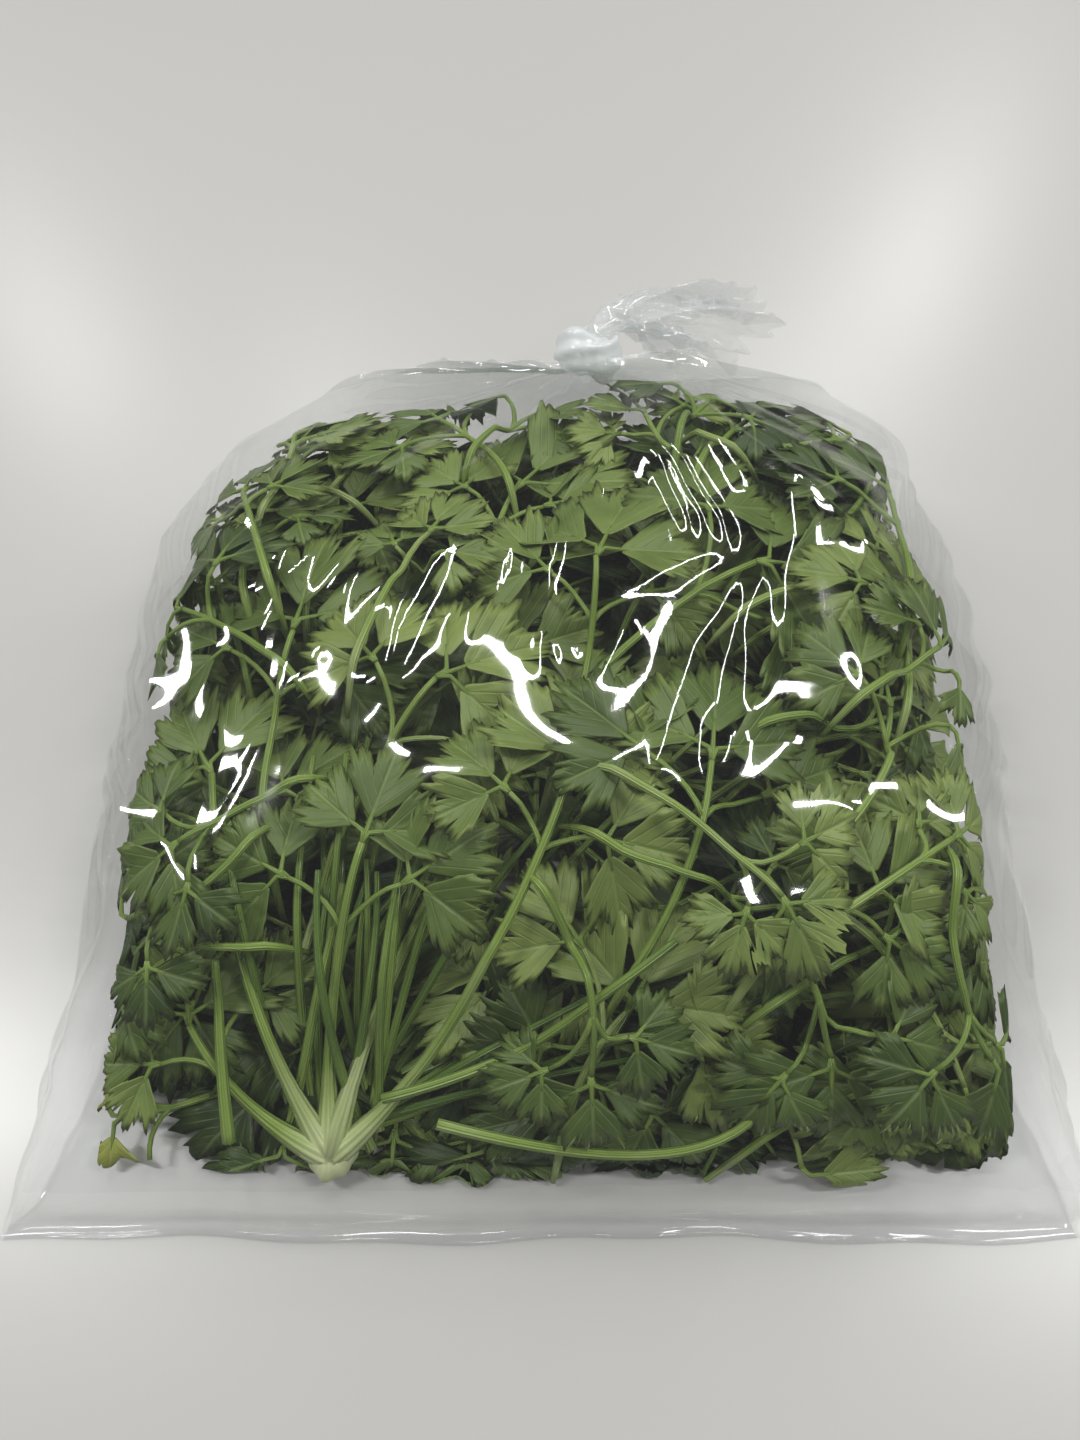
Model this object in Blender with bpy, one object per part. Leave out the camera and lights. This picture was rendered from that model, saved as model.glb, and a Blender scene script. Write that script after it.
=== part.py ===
"""Flat-leaf parsley in a tied clear bag, lying on its back, as solids.

Run with: blender --background --python part.py, or from Blender's text editor.

The bag lies on the table with its sealed seam towards -Y and its knot towards +Y.
The parsley inside is worked out in the pile's own coordinates: u runs across the pile as an
angle, v runs along it from 0 to 1, and w rises from 0 at the bag's floor to 1 under its top.
Every frond is laid over the ones before it, on a map of how high the pile stands so far,
so that no stem or leaf crosses another frond's.
"""

import math
import random

import bmesh
import bpy
import numpy as np
from mathutils import Vector

MM = 0.001

# Driving dimensions, in millimetres
BAG_WIDTH = 300.0  # across the flat seam
BAG_LENGTH = 320.0  # from the seam to the farthest point of the tail
FILM = 0.8  # wall of the bag: a stand-in for a film of 0.04
PILE_FRONT = -154.0  # Y where the parsley starts, 6 behind the seam
PILE_LENGTH = 266.0
PILE_SHIFT = 3.0  # the parsley lies a little to the right of the seam's middle
BACK_SHIFT = 10.0  # and so much more at the back
PILE_HEIGHT = 80.0
FLOOR = 1.7  # the lowest parsley stands this far over the table
BLADE = 0.7  # thickness of a leaf blade
LEAF_GAP = 1.0  # kept between the surfaces of one frond and the next
CELL = 2.2  # cell of the map of the pile's height
SEED = 12

# The crown that the main stems grow from
CROWN_AT = (-54.0, -139.0)
CROWN_RADIUS = 8.0
CROWN_HEIGHT = 9.0  # of the stems' feet over the table

# The neck and the tail of the bag
NECK_AT = Vector((16.0, 114.0, 60.0))
NECK_AXIS = Vector((0.30, 0.66, 0.68)).normalized()
NECK_RADIUS = 2.6
KNOT_RADIUS = 3.1  # of the film twisted round the neck
TAIL_END = Vector((66.0, 150.0, 34.0))
TAIL_AXIS = Vector((0.70, 0.42, -0.58)).normalized()
TAIL_WIDTH = 19.0
TAIL_DEPTH = 9.0
AROUND = 28  # points round the bag
FILM_TOP = 1.20  # height of the film's top in the pile's coordinates
FLAT_SHARE = 0.16  # how far the flat underside reaches to the sides
RING_Y = (-134, -118, -100, -76, -46, -10, 26, 58, 84, 101)  # rings of the bag's body

# A leaf's outline round its rib point: angle from the leaf's heading in degrees, and radius
# as a share of its size. Three leaflets, cut to the rib, each with lobes.
MIDDLE_LEAFLET = (
    (-29, 0.34), (-22, 0.78), (-11, 0.68), (0, 0.96), (11, 0.68), (22, 0.78), (29, 0.34),
)
SIDE_LEAFLET = ((-29, 0.34), (-19, 0.76), (0, 0.90), (19, 0.76), (29, 0.34))
SIDE_TURN = 68.0  # angle between the middle leaflet and a side one
RIB_POINT = 0.10  # the rib point's distance from the leaf's foot, as a share of its size
FOOT_HALF_WIDTH = 0.03

# Fronds as the photograph shows them from above, from the lowest to the highest.
# Foot and tip in mm, sideways bow in mm, sizes of the end leaf and the two side leaves in mm,
# the end leaf's turn from the stem in degrees, and the height of the tip as w.
CROWN = None  # a foot on the crown
SEEN_FRONDS = {
    "lower_left_1": ((-70, -112), (-108, -128), 6, 30, 20, 10, 0.30),
    "lower_left_2": (CROWN, (-92, -106), 8, 28, 22, -20, 0.62),
    "lower_mid_1": ((40, -60), (8, -124), 8, 34, 24, 30, 0.50),
    "lower_right_1": ((20, -96), (74, -124), -10, 34, 26, -10, 0.52),
    "lower_right_2": ((60, -70), (100, -116), 8, 32, 26, 20, 0.62),
    "right_1": ((40, -84), (98, -76), -8, 32, 26, 30, 0.74),
    "right_2": ((50, -40), (104, -28), 10, 34, 26, 40, 0.80),
    "right_3": ((70, 6), (104, 30), -8, 34, 26, 10, 0.80),
    "upper_right_1": ((44, 0), (88, 58), 8, 30, 20, -20, 0.82),
    "upper_left_1": ((-84, -44), (-100, 26), -10, 28, 20, 10, 0.78),
    "upper_left_2": ((-70, 0), (-62, 52), 6, 30, 22, 20, 0.84),
    "upper_mid_1": ((30, 20), (48, 68), -6, 32, 24, -10, 0.84),
    "left_1": (CROWN, (-92, -40), 12, 32, 24, 25, 0.84),
    "upper_mid_2": ((-20, -10), (-8, 58), 5, 42, 24, -8, 0.90),
    "left_2": ((-74, -66), (-70, -2), 8, 34, 26, 10, 0.90),
    "middle_1": ((4, -40), (16, 18), -6, 36, 26, -20, 0.92),
    "long_stem": (CROWN, (62, 18), 42, 40, 30, -25, 0.95),
    "middle_2": ((-62, -84), (-28, -22), 10, 32, 26, -20, 0.95),
    "fork_stem": (CROWN, (-46, -66), 8, 26, 26, 0, 0.95),
    "middle_4": ((-34, -86), (-6, -6), -10, 30, 24, 10, 0.80),
    "middle_3": (CROWN, (8, -50), -16, 30, 24, 5, 0.97),
    "right_4": ((22, -100), (44, -48), -8, 32, 28, 0, 0.97),
    "front_pair": ((6, -134), (22, -106), 5, 34, 26, 15, 0.93),
}
HIDDEN_FRONDS = 5  # laid under those, by rule
HEIGHT_SHARE = 0.86  # leaves room for the pile to grow over its targets

NODE_SHARE = 0.72  # where on its stem a frond forks
BRANCH_ANGLE = 48.0
STEM_SAMPLES = 48
STEM_POINTS = 6  # points on the stem's curve


def smooth_step(t):
    """Rises from 0 to 1 with no corner."""
    t = np.clip(t, 0.0, 1.0)
    return t * t * (3 - 2 * t)


def soft_limit(x, start, end):
    """x, pressed together past start so that it never reaches end."""
    over = np.maximum(np.abs(x) - start, 0.0)
    room = end - start
    return np.sign(x) * (np.minimum(np.abs(x), start) + room * (1 - np.exp(-over / room)))


# The pile's own coordinates

U_LIMIT = math.radians(76)  # leaves keep within this of the middle


def half_width(v):
    """Half the pile's width at v, narrower towards the knot."""
    taper = 12 * smooth_step((v - 0.62) / 0.38) + 24 * smooth_step((v - 0.86) / 0.14)
    toe = 4 * (1 - smooth_step(v / 0.3))
    return 117 + toe + 5 * np.sin(np.pi * np.clip(v / 0.8, 0, 1)) - taper


def middle(v):
    """How far the pile's middle lies to the right of the seam's at v: more at the back."""
    return PILE_SHIFT + BACK_SHIFT * smooth_step((v - 0.70) / 0.28)


def crest(v):
    """Height of the pile's ridge at v: a low toe, a steep front and a lower back."""
    front = np.sin(0.5 * np.pi * np.clip(v / 0.42, 0, 1)) ** 0.9
    return 18 + (PILE_HEIGHT - 18) * front - 30 * smooth_step((v - 0.60) / 0.40)


def top_and_bottom(u, v):
    """Heights of the pile's top and underside."""
    c = crest(v)
    top = 0.55 * c + 0.45 * c * np.cos(u) ** 0.8
    bottom = FLOOR + 0.25 * c * (1 - np.cos(u)) ** 2
    return top, bottom


def place(u, v, w):
    """The point at u, v, w, in millimetres."""
    top, bottom = top_and_bottom(u, v)
    x = middle(v) + half_width(v) * np.sin(u)
    y = PILE_FRONT + PILE_LENGTH * v + 0 * u
    return np.stack([x, y, bottom + w * (top - bottom)], axis=-1)


def plan_to_uv(x, y):
    """The u and v of a place seen from above."""
    v = np.clip((y - PILE_FRONT) / PILE_LENGTH, 0.03, 0.955)
    u = np.arcsin(np.clip((x - middle(v)) / half_width(v), -0.93, 0.93))
    return u, v


def steps_of(u, v, w):
    """Millimetres along the pile for one unit of u and one of v, and for one unit of w across it."""
    d = 1e-3
    along_u = (place(u + d, v, w) - place(u - d, v, w)) / (2 * d)
    along_v = (place(u, v + d, w) - place(u, v - d, w)) / (2 * d)
    size_u = np.maximum(np.linalg.norm(along_u, axis=-1), 45.0)
    size_v = np.linalg.norm(along_v, axis=-1)
    normal = np.cross(along_u, along_v)
    upright = np.abs(normal[..., 2]) / np.linalg.norm(normal, axis=-1)
    top, bottom = top_and_bottom(u, v)
    return size_u, size_v, (top - bottom) * np.maximum(upright, 0.35)


class HeightMap:
    """How high, as w, the pile stands so far over each cell of u and v."""

    U_END = math.radians(80)

    def __init__(self):
        self.columns = int(2 * self.U_END * 120 / CELL)
        self.rows = int(PILE_LENGTH / CELL)
        u = (np.arange(self.columns) + 0.5) / self.columns * 2 * self.U_END - self.U_END
        v = (np.arange(self.rows) + 0.5) / self.rows
        grid_u, grid_v = np.meshgrid(u, v, indexing="ij")
        self.step_w = steps_of(grid_u, grid_v, 0.7)[2]
        self.w = np.zeros((self.columns, self.rows))

    def cells(self, u, v):
        i = ((u + self.U_END) / (2 * self.U_END) * self.columns).astype(int)
        j = (v * self.rows).astype(int)
        return np.clip(i, 0, self.columns - 1), np.clip(j, 0, self.rows - 1)

    def above(self, u, v, clearance):
        """The least w that clears the pile round each point by clearance millimetres."""
        i, j = self.cells(u, v)
        best = np.zeros(np.shape(u))
        for di in (-1, 0, 1):
            for dj in (-1, 0, 1):
                ii = np.clip(i + di, 0, self.columns - 1)
                jj = np.clip(j + dj, 0, self.rows - 1)
                best = np.maximum(best, self.w[ii, jj])
        return best + clearance / self.step_w[i, j]

    def raise_to(self, u, v, w, half_thickness):
        i, j = self.cells(u, v)
        np.maximum.at(self.w, (i, j), w + half_thickness / self.step_w[i, j])


# Leaves


def leaf_outline():
    """The outline round the rib point, anticlockwise from the foot, as (angle, share of size)."""
    points = [(a - SIDE_TURN, r) for a, r in SIDE_LEAFLET]
    points += MIDDLE_LEAFLET
    points += [(a + SIDE_TURN, r) for a, r in SIDE_LEAFLET]
    angles = np.radians([p[0] for p in points])
    shares = np.array([p[1] for p in points])
    foot = math.atan2(FOOT_HALF_WIDTH, -RIB_POINT)
    foot_share = math.hypot(FOOT_HALF_WIDTH, RIB_POINT)
    angles = np.concatenate([[-foot], angles, [foot]])
    shares = np.concatenate([[foot_share], shares, [foot_share]])
    return angles, shares


class Leaf:
    """A blade of three leaflets on the pile: where its foot is, its heading and its slopes."""

    def __init__(self, u, v, heading, size, rng):
        self.u, self.v, self.size = u, v, size
        self.heading = heading
        self.forward_slope = rng.uniform(-0.16, 0.10)
        self.side_slope = rng.uniform(-0.22, 0.22)
        self.droop = rng.uniform(0.10, 0.30)
        self.fold = rng.uniform(0.06, 0.16)
        self.w = 0.0

    def slope(self, angle):
        """Rise for each millimetre out from the rib point, at an angle from the heading."""
        leaflet = np.clip(np.round(angle / math.radians(SIDE_TURN)), -1, 1)
        from_rib = np.abs(angle - leaflet * math.radians(SIDE_TURN)) / math.radians(29)
        return (
            self.forward_slope * np.cos(angle)
            + self.side_slope * np.sin(angle)
            - self.droop * (np.minimum(np.abs(angle), 3.2 - np.abs(angle)) / 1.6) ** 1.5
            + self.fold * (np.minimum(from_rib, 1.2) - 0.5)
        )

    def uvw(self, angle, share):
        """Pile coordinates of points at an angle and a share of the leaf's size from the rib point."""
        size_u, size_v, size_w = steps_of(self.u, self.v, 0.7)
        rise = self.slope(angle) * min(1.0, float(size_w) / 55.0)
        rib_u = self.u + RIB_POINT * self.size * math.cos(self.heading) / size_u
        rib_v = self.v + RIB_POINT * self.size * math.sin(self.heading) / size_v
        toward_u = np.cos(self.heading + angle) / size_u
        toward_v = np.sin(self.heading + angle) / size_v
        room_u = (U_LIMIT - np.sign(toward_u) * rib_u) / np.maximum(np.abs(toward_u), 1e-6)
        room_v = (0.475 - np.sign(toward_v) * (rib_v - 0.5)) / np.maximum(np.abs(toward_v), 1e-6)
        room = np.maximum(np.minimum(room_u, room_v), 5.0)
        reach = soft_limit(share * self.size, 0.6 * room, room)
        u, v = rib_u + toward_u * reach, rib_v + toward_v * reach
        return u, v, self.w + rise * reach / size_w

    def footprint(self):
        """Points spread over the whole blade, close enough together for the height map."""
        angles, shares = leaf_outline()
        fine = np.linspace(angles[0], angles[-1], 110)
        edge = np.interp(fine, angles, shares)
        rings = np.linspace(0.0, 1.04, 26)[:, None]
        return np.broadcast_to(fine, (26, 110)), rings * edge

    def settle(self, heights, target, least):
        """Lowers the leaf to its target height, or onto what lies below it."""
        self.w = 0.0
        u, v, w = self.uvw(*self.footprint())
        needed = heights.above(u, v, BLADE / 2 + LEAF_GAP) - w
        self.w = max(float(needed.max()), target, least)

    def cover(self, heights):
        u, v, w = self.uvw(*self.footprint())
        heights.raise_to(u, v, w, BLADE / 2)

    def outline(self):
        """The rib point and the outline, in millimetres."""
        angles, shares = leaf_outline()
        rib = place(*self.uvw(np.zeros(1), np.zeros(1)))[0]
        return rib, place(*self.uvw(angles, shares))


# Stems


def envelope(lower, width):
    """A smooth line that stays on or over lower."""
    padded = np.pad(lower, width, mode="edge")
    highest = np.array([padded[i : i + 2 * width + 1].max() for i in range(len(lower))])
    padded = np.pad(highest, width, mode="edge")
    kernel = np.ones(2 * width + 1) / (2 * width + 1)
    return np.maximum(np.convolve(padded, kernel, mode="valid"), lower)


class Stalk:
    """A round stem or branch along the pile, from its foot to its tip."""

    def __init__(self, plan, radius_foot, radius_tip):
        self.u, self.v = plan_to_uv(plan[:, 0], plan[:, 1])
        self.radius = np.linspace(radius_foot, radius_tip, len(plan))
        self.w = np.zeros(len(plan))

    def settle(self, heights, target, on_crown=False):
        """Lays the stalk over the pile, at its target height or above it. On the crown, where
        all stems grow together, it starts from the crown's own height."""
        foot_w = (CROWN_HEIGHT - FLOOR) / 24.0
        size_u, size_v, _ = steps_of(self.u, self.v, 0.7)
        lower = target * 0.0
        for side in (-1, -0.5, 0, 0.5, 1):
            reach = side * (self.radius + 0.8)
            across_u, across_v = -np.gradient(self.v) * size_v, np.gradient(self.u) * size_u
            length = np.hypot(across_u, across_v) + 1e-9
            u = self.u + across_u / length * reach / size_u
            v = self.v + across_v / length * reach / size_v
            lower = np.maximum(lower, heights.above(u, v, self.radius + LEAF_GAP))
        if on_crown:
            plan = self.points()[:, :2] - CROWN_AT
            free = smooth_step((np.linalg.norm(plan, axis=1) - CROWN_RADIUS) / 32.0)
            lower, target = lower * free, target * free + foot_w * (1 - free)
        self.w = envelope(np.maximum(lower, target), max(2, len(self.w) // 9))

    def lift_end(self, w, share):
        """Raises the last part of the stalk so that its tip reaches w."""
        along = np.linspace(0, 1, len(self.w))
        self.w += max(0.0, w - self.w[-1]) * smooth_step((along - share) / (1 - share))

    def cover(self, heights):
        size_u, size_v, _ = steps_of(self.u, self.v, 0.7)
        for side in np.linspace(-1, 1, 5):
            for turn_u, turn_v in ((1, 0), (0, 1)):
                u = self.u + side * self.radius * turn_u / size_u
                v = self.v + side * self.radius * turn_v / size_v
                heights.raise_to(u, v, self.w, self.radius)

    def points(self):
        return place(self.u, self.v, self.w)


def bowed(foot, tip, bow, count):
    """Points in plan from foot to tip, bowed to the left by about half of bow."""
    foot, tip = np.array(foot, float), np.array(tip, float)
    along = tip - foot
    left = np.array([-along[1], along[0]]) / np.linalg.norm(along)
    control = (foot + tip) / 2 + left * bow
    t = np.linspace(0, 1, count)[:, None]
    return (1 - t) ** 2 * foot + 2 * t * (1 - t) * control + t**2 * tip


class Frond:
    """A stem that forks near its end into two side branches, with a leaf on each tip."""

    def __init__(self, name, foot, tip, bow, end_size, side_size, turn, height, rng):
        self.name = name
        self.on_crown = foot is CROWN
        if self.on_crown:
            foot = CROWN_AT
        plan = bowed(foot, tip, bow, STEM_SAMPLES)
        length = float(np.linalg.norm(np.diff(plan, axis=0), axis=1).sum())
        thick = 2.0 if self.on_crown else 1.7
        self.stem = Stalk(plan, thick, 1.1)
        self.node = int(STEM_SAMPLES * (1 - (1 - NODE_SHARE) * min(1.0, 75.0 / length)))
        along = plan[-1] - plan[-4]
        heading = math.atan2(along[1], along[0])
        self.end_leaf = Leaf(
            self.stem.u[-1], self.stem.v[-1], heading + math.radians(turn), end_size, rng
        )
        at_node = plan[self.node + 1] - plan[self.node - 1]
        node_heading = math.atan2(at_node[1], at_node[0])
        self.branches, self.side_leaves = [], []
        for side in (-1, 1):
            angle = node_heading + side * math.radians(BRANCH_ANGLE + rng.uniform(-8, 14))
            reach = side_size * rng.uniform(0.55, 0.95)
            end = plan[self.node] + reach * np.array([math.cos(angle), math.sin(angle)])
            branch = Stalk(bowed(plan[self.node], end, -side * 4, 14), 1.1, 0.9)
            leaf_heading = angle + side * math.radians(rng.uniform(-5, 30))
            leaf = Leaf(branch.u[-1], branch.v[-1], leaf_heading, side_size, rng)
            self.branches.append(branch)
            self.side_leaves.append(leaf)
        self.height = height = height * HEIGHT_SHARE
        self.start_height = 0.12 if self.on_crown else max(0.08, height - rng.uniform(0.25, 0.5))

    def lay(self, heights):
        """Settles the stem, its branches and its leaves on the pile, then covers the pile with them."""
        along = np.linspace(0, 1, STEM_SAMPLES)
        target = self.start_height + (self.height - self.start_height) * smooth_step(along * 1.1)
        self.stem.settle(heights, target, self.on_crown)
        for branch, leaf in zip(self.branches, self.side_leaves):
            branch.settle(heights, np.full(len(branch.w), self.height - 0.03))
            leaf.settle(heights, self.height - 0.04, branch.w[-1])
            branch.lift_end(leaf.w, 0.2)
            short = branch.w[0] - self.stem.w[self.node]
            near_node = np.exp(-(((np.arange(STEM_SAMPLES) - self.node) / 7.0) ** 2))
            self.stem.w += max(0.0, short) * near_node
        self.end_leaf.settle(heights, self.height, self.stem.w[-1])
        self.stem.lift_end(self.end_leaf.w, 0.6)
        for branch, leaf in zip(self.branches, self.side_leaves):
            fall = 1 - smooth_step(np.linspace(0, 1.3, len(branch.w)))
            branch.w += (self.stem.w[self.node] - branch.w[0]) * fall
        for stalk in (self.stem, *self.branches):
            stalk.cover(heights)
        for leaf in (self.end_leaf, *self.side_leaves):
            leaf.cover(heights)


def plan_fronds(rng):
    """All fronds from the lowest to the highest: the hidden ones by rule, then those seen."""
    fronds = []
    for k in range(HIDDEN_FRONDS):
        share = (k + 0.5) / HIDDEN_FRONDS
        angle = math.radians(-150 + 360 * (k * 0.382 % 1.0))
        reach = 0.62 * math.sqrt(0.25 + 0.75 * (k * 0.618 % 1.0))
        tip = (100 * reach * math.cos(angle) * 1.25, -14 + 112 * reach * math.sin(angle) * 1.2)
        inward = rng.uniform(55, 85)
        away = math.atan2(tip[1] + 14, tip[0]) + rng.uniform(-0.7, 0.7)
        foot = (tip[0] - inward * math.cos(away), tip[1] - inward * math.sin(away))
        fronds.append(
            Frond(
                f"hidden_{k + 1:02d}", foot, tip, rng.uniform(-14, 14), rng.uniform(28, 38),
                rng.uniform(20, 28), rng.uniform(-20, 20), 0.06 + 0.62 * share, rng,
            )
        )
    for name, row in SEEN_FRONDS.items():
        fronds.append(Frond(name, *row, rng))
    return sorted(fronds, key=lambda frond: frond.height)


# Building in Blender


def new_collection(name):
    collection = bpy.data.collections.new(name)
    bpy.context.scene.collection.children.link(collection)
    return collection


def material(name, colour, roughness, alpha=1.0):
    made = bpy.data.materials.new(name)
    made.use_nodes = True
    shader = made.node_tree.nodes["Principled BSDF"]
    shader.inputs["Base Color"].default_value = (*colour, 1.0)
    shader.inputs["Roughness"].default_value = roughness
    shader.inputs["Metallic"].default_value = 0.0
    shader.inputs["Alpha"].default_value = alpha
    made.diffuse_color = (*colour, alpha)
    return made


def new_object(name, mesh, collection, finish=None):
    made = bpy.data.objects.new(name, mesh)
    collection.objects.link(made)
    if finish is not None:
        mesh.materials.append(finish)
    return made


def tube(points, radii, sides_step, collection):
    """A tapered round stem as a mesh: a curve with a bevel, made solid."""
    curve = bpy.data.curves.new("stalk", "CURVE")
    curve.dimensions = "3D"
    curve.bevel_depth = MM
    curve.bevel_resolution = sides_step
    curve.use_fill_caps = True
    spline = curve.splines.new("POLY")
    spline.points.add(len(points) - 1)
    for spot, co, radius in zip(spline.points, points, radii):
        spot.co = (*(co * MM), 1.0)
        spot.radius = radius
    rail = bpy.data.objects.new("stalk", curve)
    collection.objects.link(rail)
    graph = bpy.context.evaluated_depsgraph_get()
    mesh = bpy.data.meshes.new_from_object(rail.evaluated_get(graph))
    bm = bmesh.new()
    bm.from_mesh(mesh)
    bmesh.ops.remove_doubles(bm, verts=bm.verts, dist=1e-6)
    bmesh.ops.recalc_face_normals(bm, faces=bm.faces)
    bm.to_mesh(mesh)
    bm.free()
    bpy.data.objects.remove(rail)
    return new_object("stalk", mesh, collection)


def blade(leaf, collection):
    """A leaf as a thin solid: a fan of triangles round its rib point, given its thickness."""
    rib, outline = leaf.outline()
    bm = bmesh.new()
    bmesh.ops.create_circle(bm, cap_ends=True, cap_tris=True, segments=len(outline), radius=1.0)
    bm.verts.ensure_lookup_table()
    centre = min(bm.verts, key=lambda vert: vert.co.length)
    rim = sorted((v for v in bm.verts if v is not centre), key=lambda v: math.atan2(v.co.y, v.co.x))
    centre.co = Vector(rib * MM)
    for vert, co in zip(rim, outline):
        vert.co = Vector(co * MM)
    bmesh.ops.recalc_face_normals(bm, faces=bm.faces)
    bm.normal_update()
    for vert in bm.verts:
        vert.co += vert.normal * BLADE / 2 * MM
    bmesh.ops.solidify(bm, geom=bm.faces, thickness=BLADE * MM)
    bmesh.ops.recalc_face_normals(bm, faces=bm.faces)
    mesh = bpy.data.meshes.new("blade")
    bm.to_mesh(mesh)
    bm.free()
    return new_object("blade", mesh, collection)


def join_solids(name, body, pieces, collection, finish):
    """One solid of a body and the pieces that grow from it."""
    pieces.objects.unlink(body)
    collection.objects.link(body)
    union = body.modifiers.new("union", "BOOLEAN")
    union.operation = "UNION"
    union.operand_type = "COLLECTION"
    union.collection = pieces
    union.solver = "EXACT"
    graph = bpy.context.evaluated_depsgraph_get()
    mesh = bpy.data.meshes.new_from_object(body.evaluated_get(graph))
    for leftover in [body, *pieces.objects]:
        bpy.data.objects.remove(leftover)
    mesh.materials.clear()
    drop_slivers(mesh)
    mesh.shade_smooth()
    mesh.set_sharp_from_angle(angle=math.radians(40))
    return new_object(name, mesh, collection, finish)


def drop_slivers(mesh):
    """Removes everything in a mesh but its largest connected body."""
    bm = bmesh.new()
    bm.from_mesh(mesh)
    left, islands = set(bm.verts), []
    while left:
        seed = left.pop()
        island, queue = {seed}, [seed]
        while queue:
            for edge in queue.pop().link_edges:
                for vert in edge.verts:
                    if vert in left:
                        left.remove(vert)
                        island.add(vert)
                        queue.append(vert)
        islands.append(island)
    largest = max(islands, key=len)
    extra = [vert for vert in bm.verts if vert not in largest]
    bmesh.ops.delete(bm, geom=extra, context="VERTS")
    bmesh.ops.dissolve_limit(bm, angle_limit=math.radians(0.6), verts=bm.verts, edges=bm.edges)
    bmesh.ops.triangulate(bm, faces=bm.faces)
    bm.to_mesh(mesh)
    bm.free()


def curve_points(stalk, count, sink=0.0):
    """Points and radii along a stalk, with its tip run on by sink millimetres."""
    points = stalk.points()
    picks = np.linspace(0, len(points) - 1, count)
    index = np.arange(len(points))
    chosen = np.stack([np.interp(picks, index, points[:, k]) for k in range(3)], axis=1)
    radii = np.interp(picks, index, stalk.radius)
    end = chosen[-1] - chosen[-2]
    chosen[-1] += end / np.linalg.norm(end) * sink
    return chosen, radii


def frond_solids(frond, pieces):
    """A frond's stem, branches and leaves as separate solids; returns the stem."""
    stem = tube(*curve_points(frond.stem, STEM_POINTS, 1.6), 1, pieces)
    for branch in frond.branches:
        tube(*curve_points(branch, 3, 1.6), 0, pieces)
    for leaf in (frond.end_leaf, *frond.side_leaves):
        blade(leaf, pieces)
    return stem


def build_frond(name, frond, collection, finish):
    """A frond as one solid."""
    pieces = new_collection(name + "_pieces")
    body = frond_solids(frond, pieces)
    made = join_solids(name, body, pieces, collection, finish)
    bpy.data.collections.remove(pieces)
    return made


def build_crown(fronds, collection, finish):
    """The crown and the stems that grow from it, as one solid."""
    pieces = new_collection("crown_pieces")
    bm = bmesh.new()
    bmesh.ops.create_uvsphere(bm, u_segments=12, v_segments=8, radius=1.0)
    for vert in bm.verts:
        turn = math.atan2(vert.co.y, vert.co.x)
        lump = 1 - 0.10 * (0.5 + 0.5 * math.cos(4 * turn))
        reach = CROWN_RADIUS * lump
        vert.co = Vector((
            CROWN_AT[0] + vert.co.x * reach,
            CROWN_AT[1] + vert.co.y * reach,
            CROWN_HEIGHT + vert.co.z * (CROWN_HEIGHT - FLOOR),
        )) * MM
    mesh = bpy.data.meshes.new("crown")
    bm.to_mesh(mesh)
    bm.free()
    body = new_object("crown", mesh, pieces)
    for frond in fronds:
        frond_solids(frond, pieces)
    made = join_solids("crown_fronds", body, pieces, collection, finish)
    bpy.data.collections.remove(pieces)
    return made


# The bag


def film_width(y):
    """Half the bag's width at y: the flat seam's full width, then drawn in to the pile."""
    v = np.clip((y - PILE_FRONT) / PILE_LENGTH, 0, 1)
    ear = np.clip((-100.0 - y) / 60.0, 0, 1) ** 1.8
    body = half_width(v) + 5.0
    return body + (BAG_WIDTH / 2 - body) * ear


def body_loop(y):
    """A ring of the bag's outer face at y: over the pile from +X to -X, then back under it."""
    half = BAG_LENGTH / 2
    v = np.clip((y - PILE_FRONT) / PILE_LENGTH, 0, 1)
    risen = smooth_step((y + half - 3) / 12.0)
    turn = np.linspace(0, 2 * np.pi, AROUND, endpoint=False)
    u = np.where(turn <= np.pi, np.pi / 2 - turn, turn - 3 * np.pi / 2)
    across = np.maximum(np.cos(u), 0.0)
    top, bottom = top_and_bottom(np.clip(u, -1.5, 1.5), v)
    belt = 0.42 * crest(v)
    side = np.minimum(1.0, across / math.cos(U_LIMIT)) ** 0.6
    over = belt + (bottom + FILM_TOP * (top - bottom) + 1.5 - belt) * side
    curl = 0.25 * crest(v) * np.maximum(0.0, 1 - np.cos(u) - FLAT_SHARE) ** 2
    under = belt + (curl - belt) * side
    flat = FILM * np.sign(across.round(6))
    over = over * risen + (FILM + flat) * (1 - risen)
    under = under * risen + (FILM - flat) * (1 - risen)
    x = middle(v) * risen + film_width(y) * np.sin(u)
    return np.stack([x, np.full(AROUND, y), np.where(turn <= np.pi, over, under)], axis=1)


def neck_frame(axis):
    side = Vector((1.0, 0.0, 0.0))
    side = (side - axis * side.dot(axis)).normalized()
    return side, side.cross(axis)


def ring_round(centre, axis, half_side, half_up, ruffle, waves):
    """A ring round an axis, as many points as the body's rings, starting at its +X side."""
    side, up = neck_frame(axis)
    turn = np.linspace(0, 2 * np.pi, AROUND, endpoint=False)
    wave = 1 + ruffle * np.cos(waves * turn)
    side_of = np.outer(half_side * np.cos(turn) * wave, side)
    up_of = np.outer(half_up * np.sin(turn) * wave, up)
    return np.array(centre) + side_of + up_of


def bezier(path, t):
    """The point at t on a curve of four control points."""
    a, b, c, d = path
    return (1 - t) ** 3 * a + 3 * t * (1 - t) ** 2 * b + 3 * t * t * (1 - t) * c + t**3 * d


def bezier_heading(path, t):
    a, b, c, d = path
    return ((1 - t) ** 2 * (b - a) + 2 * t * (1 - t) * (c - b) + t * t * (d - c)).normalized()


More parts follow.
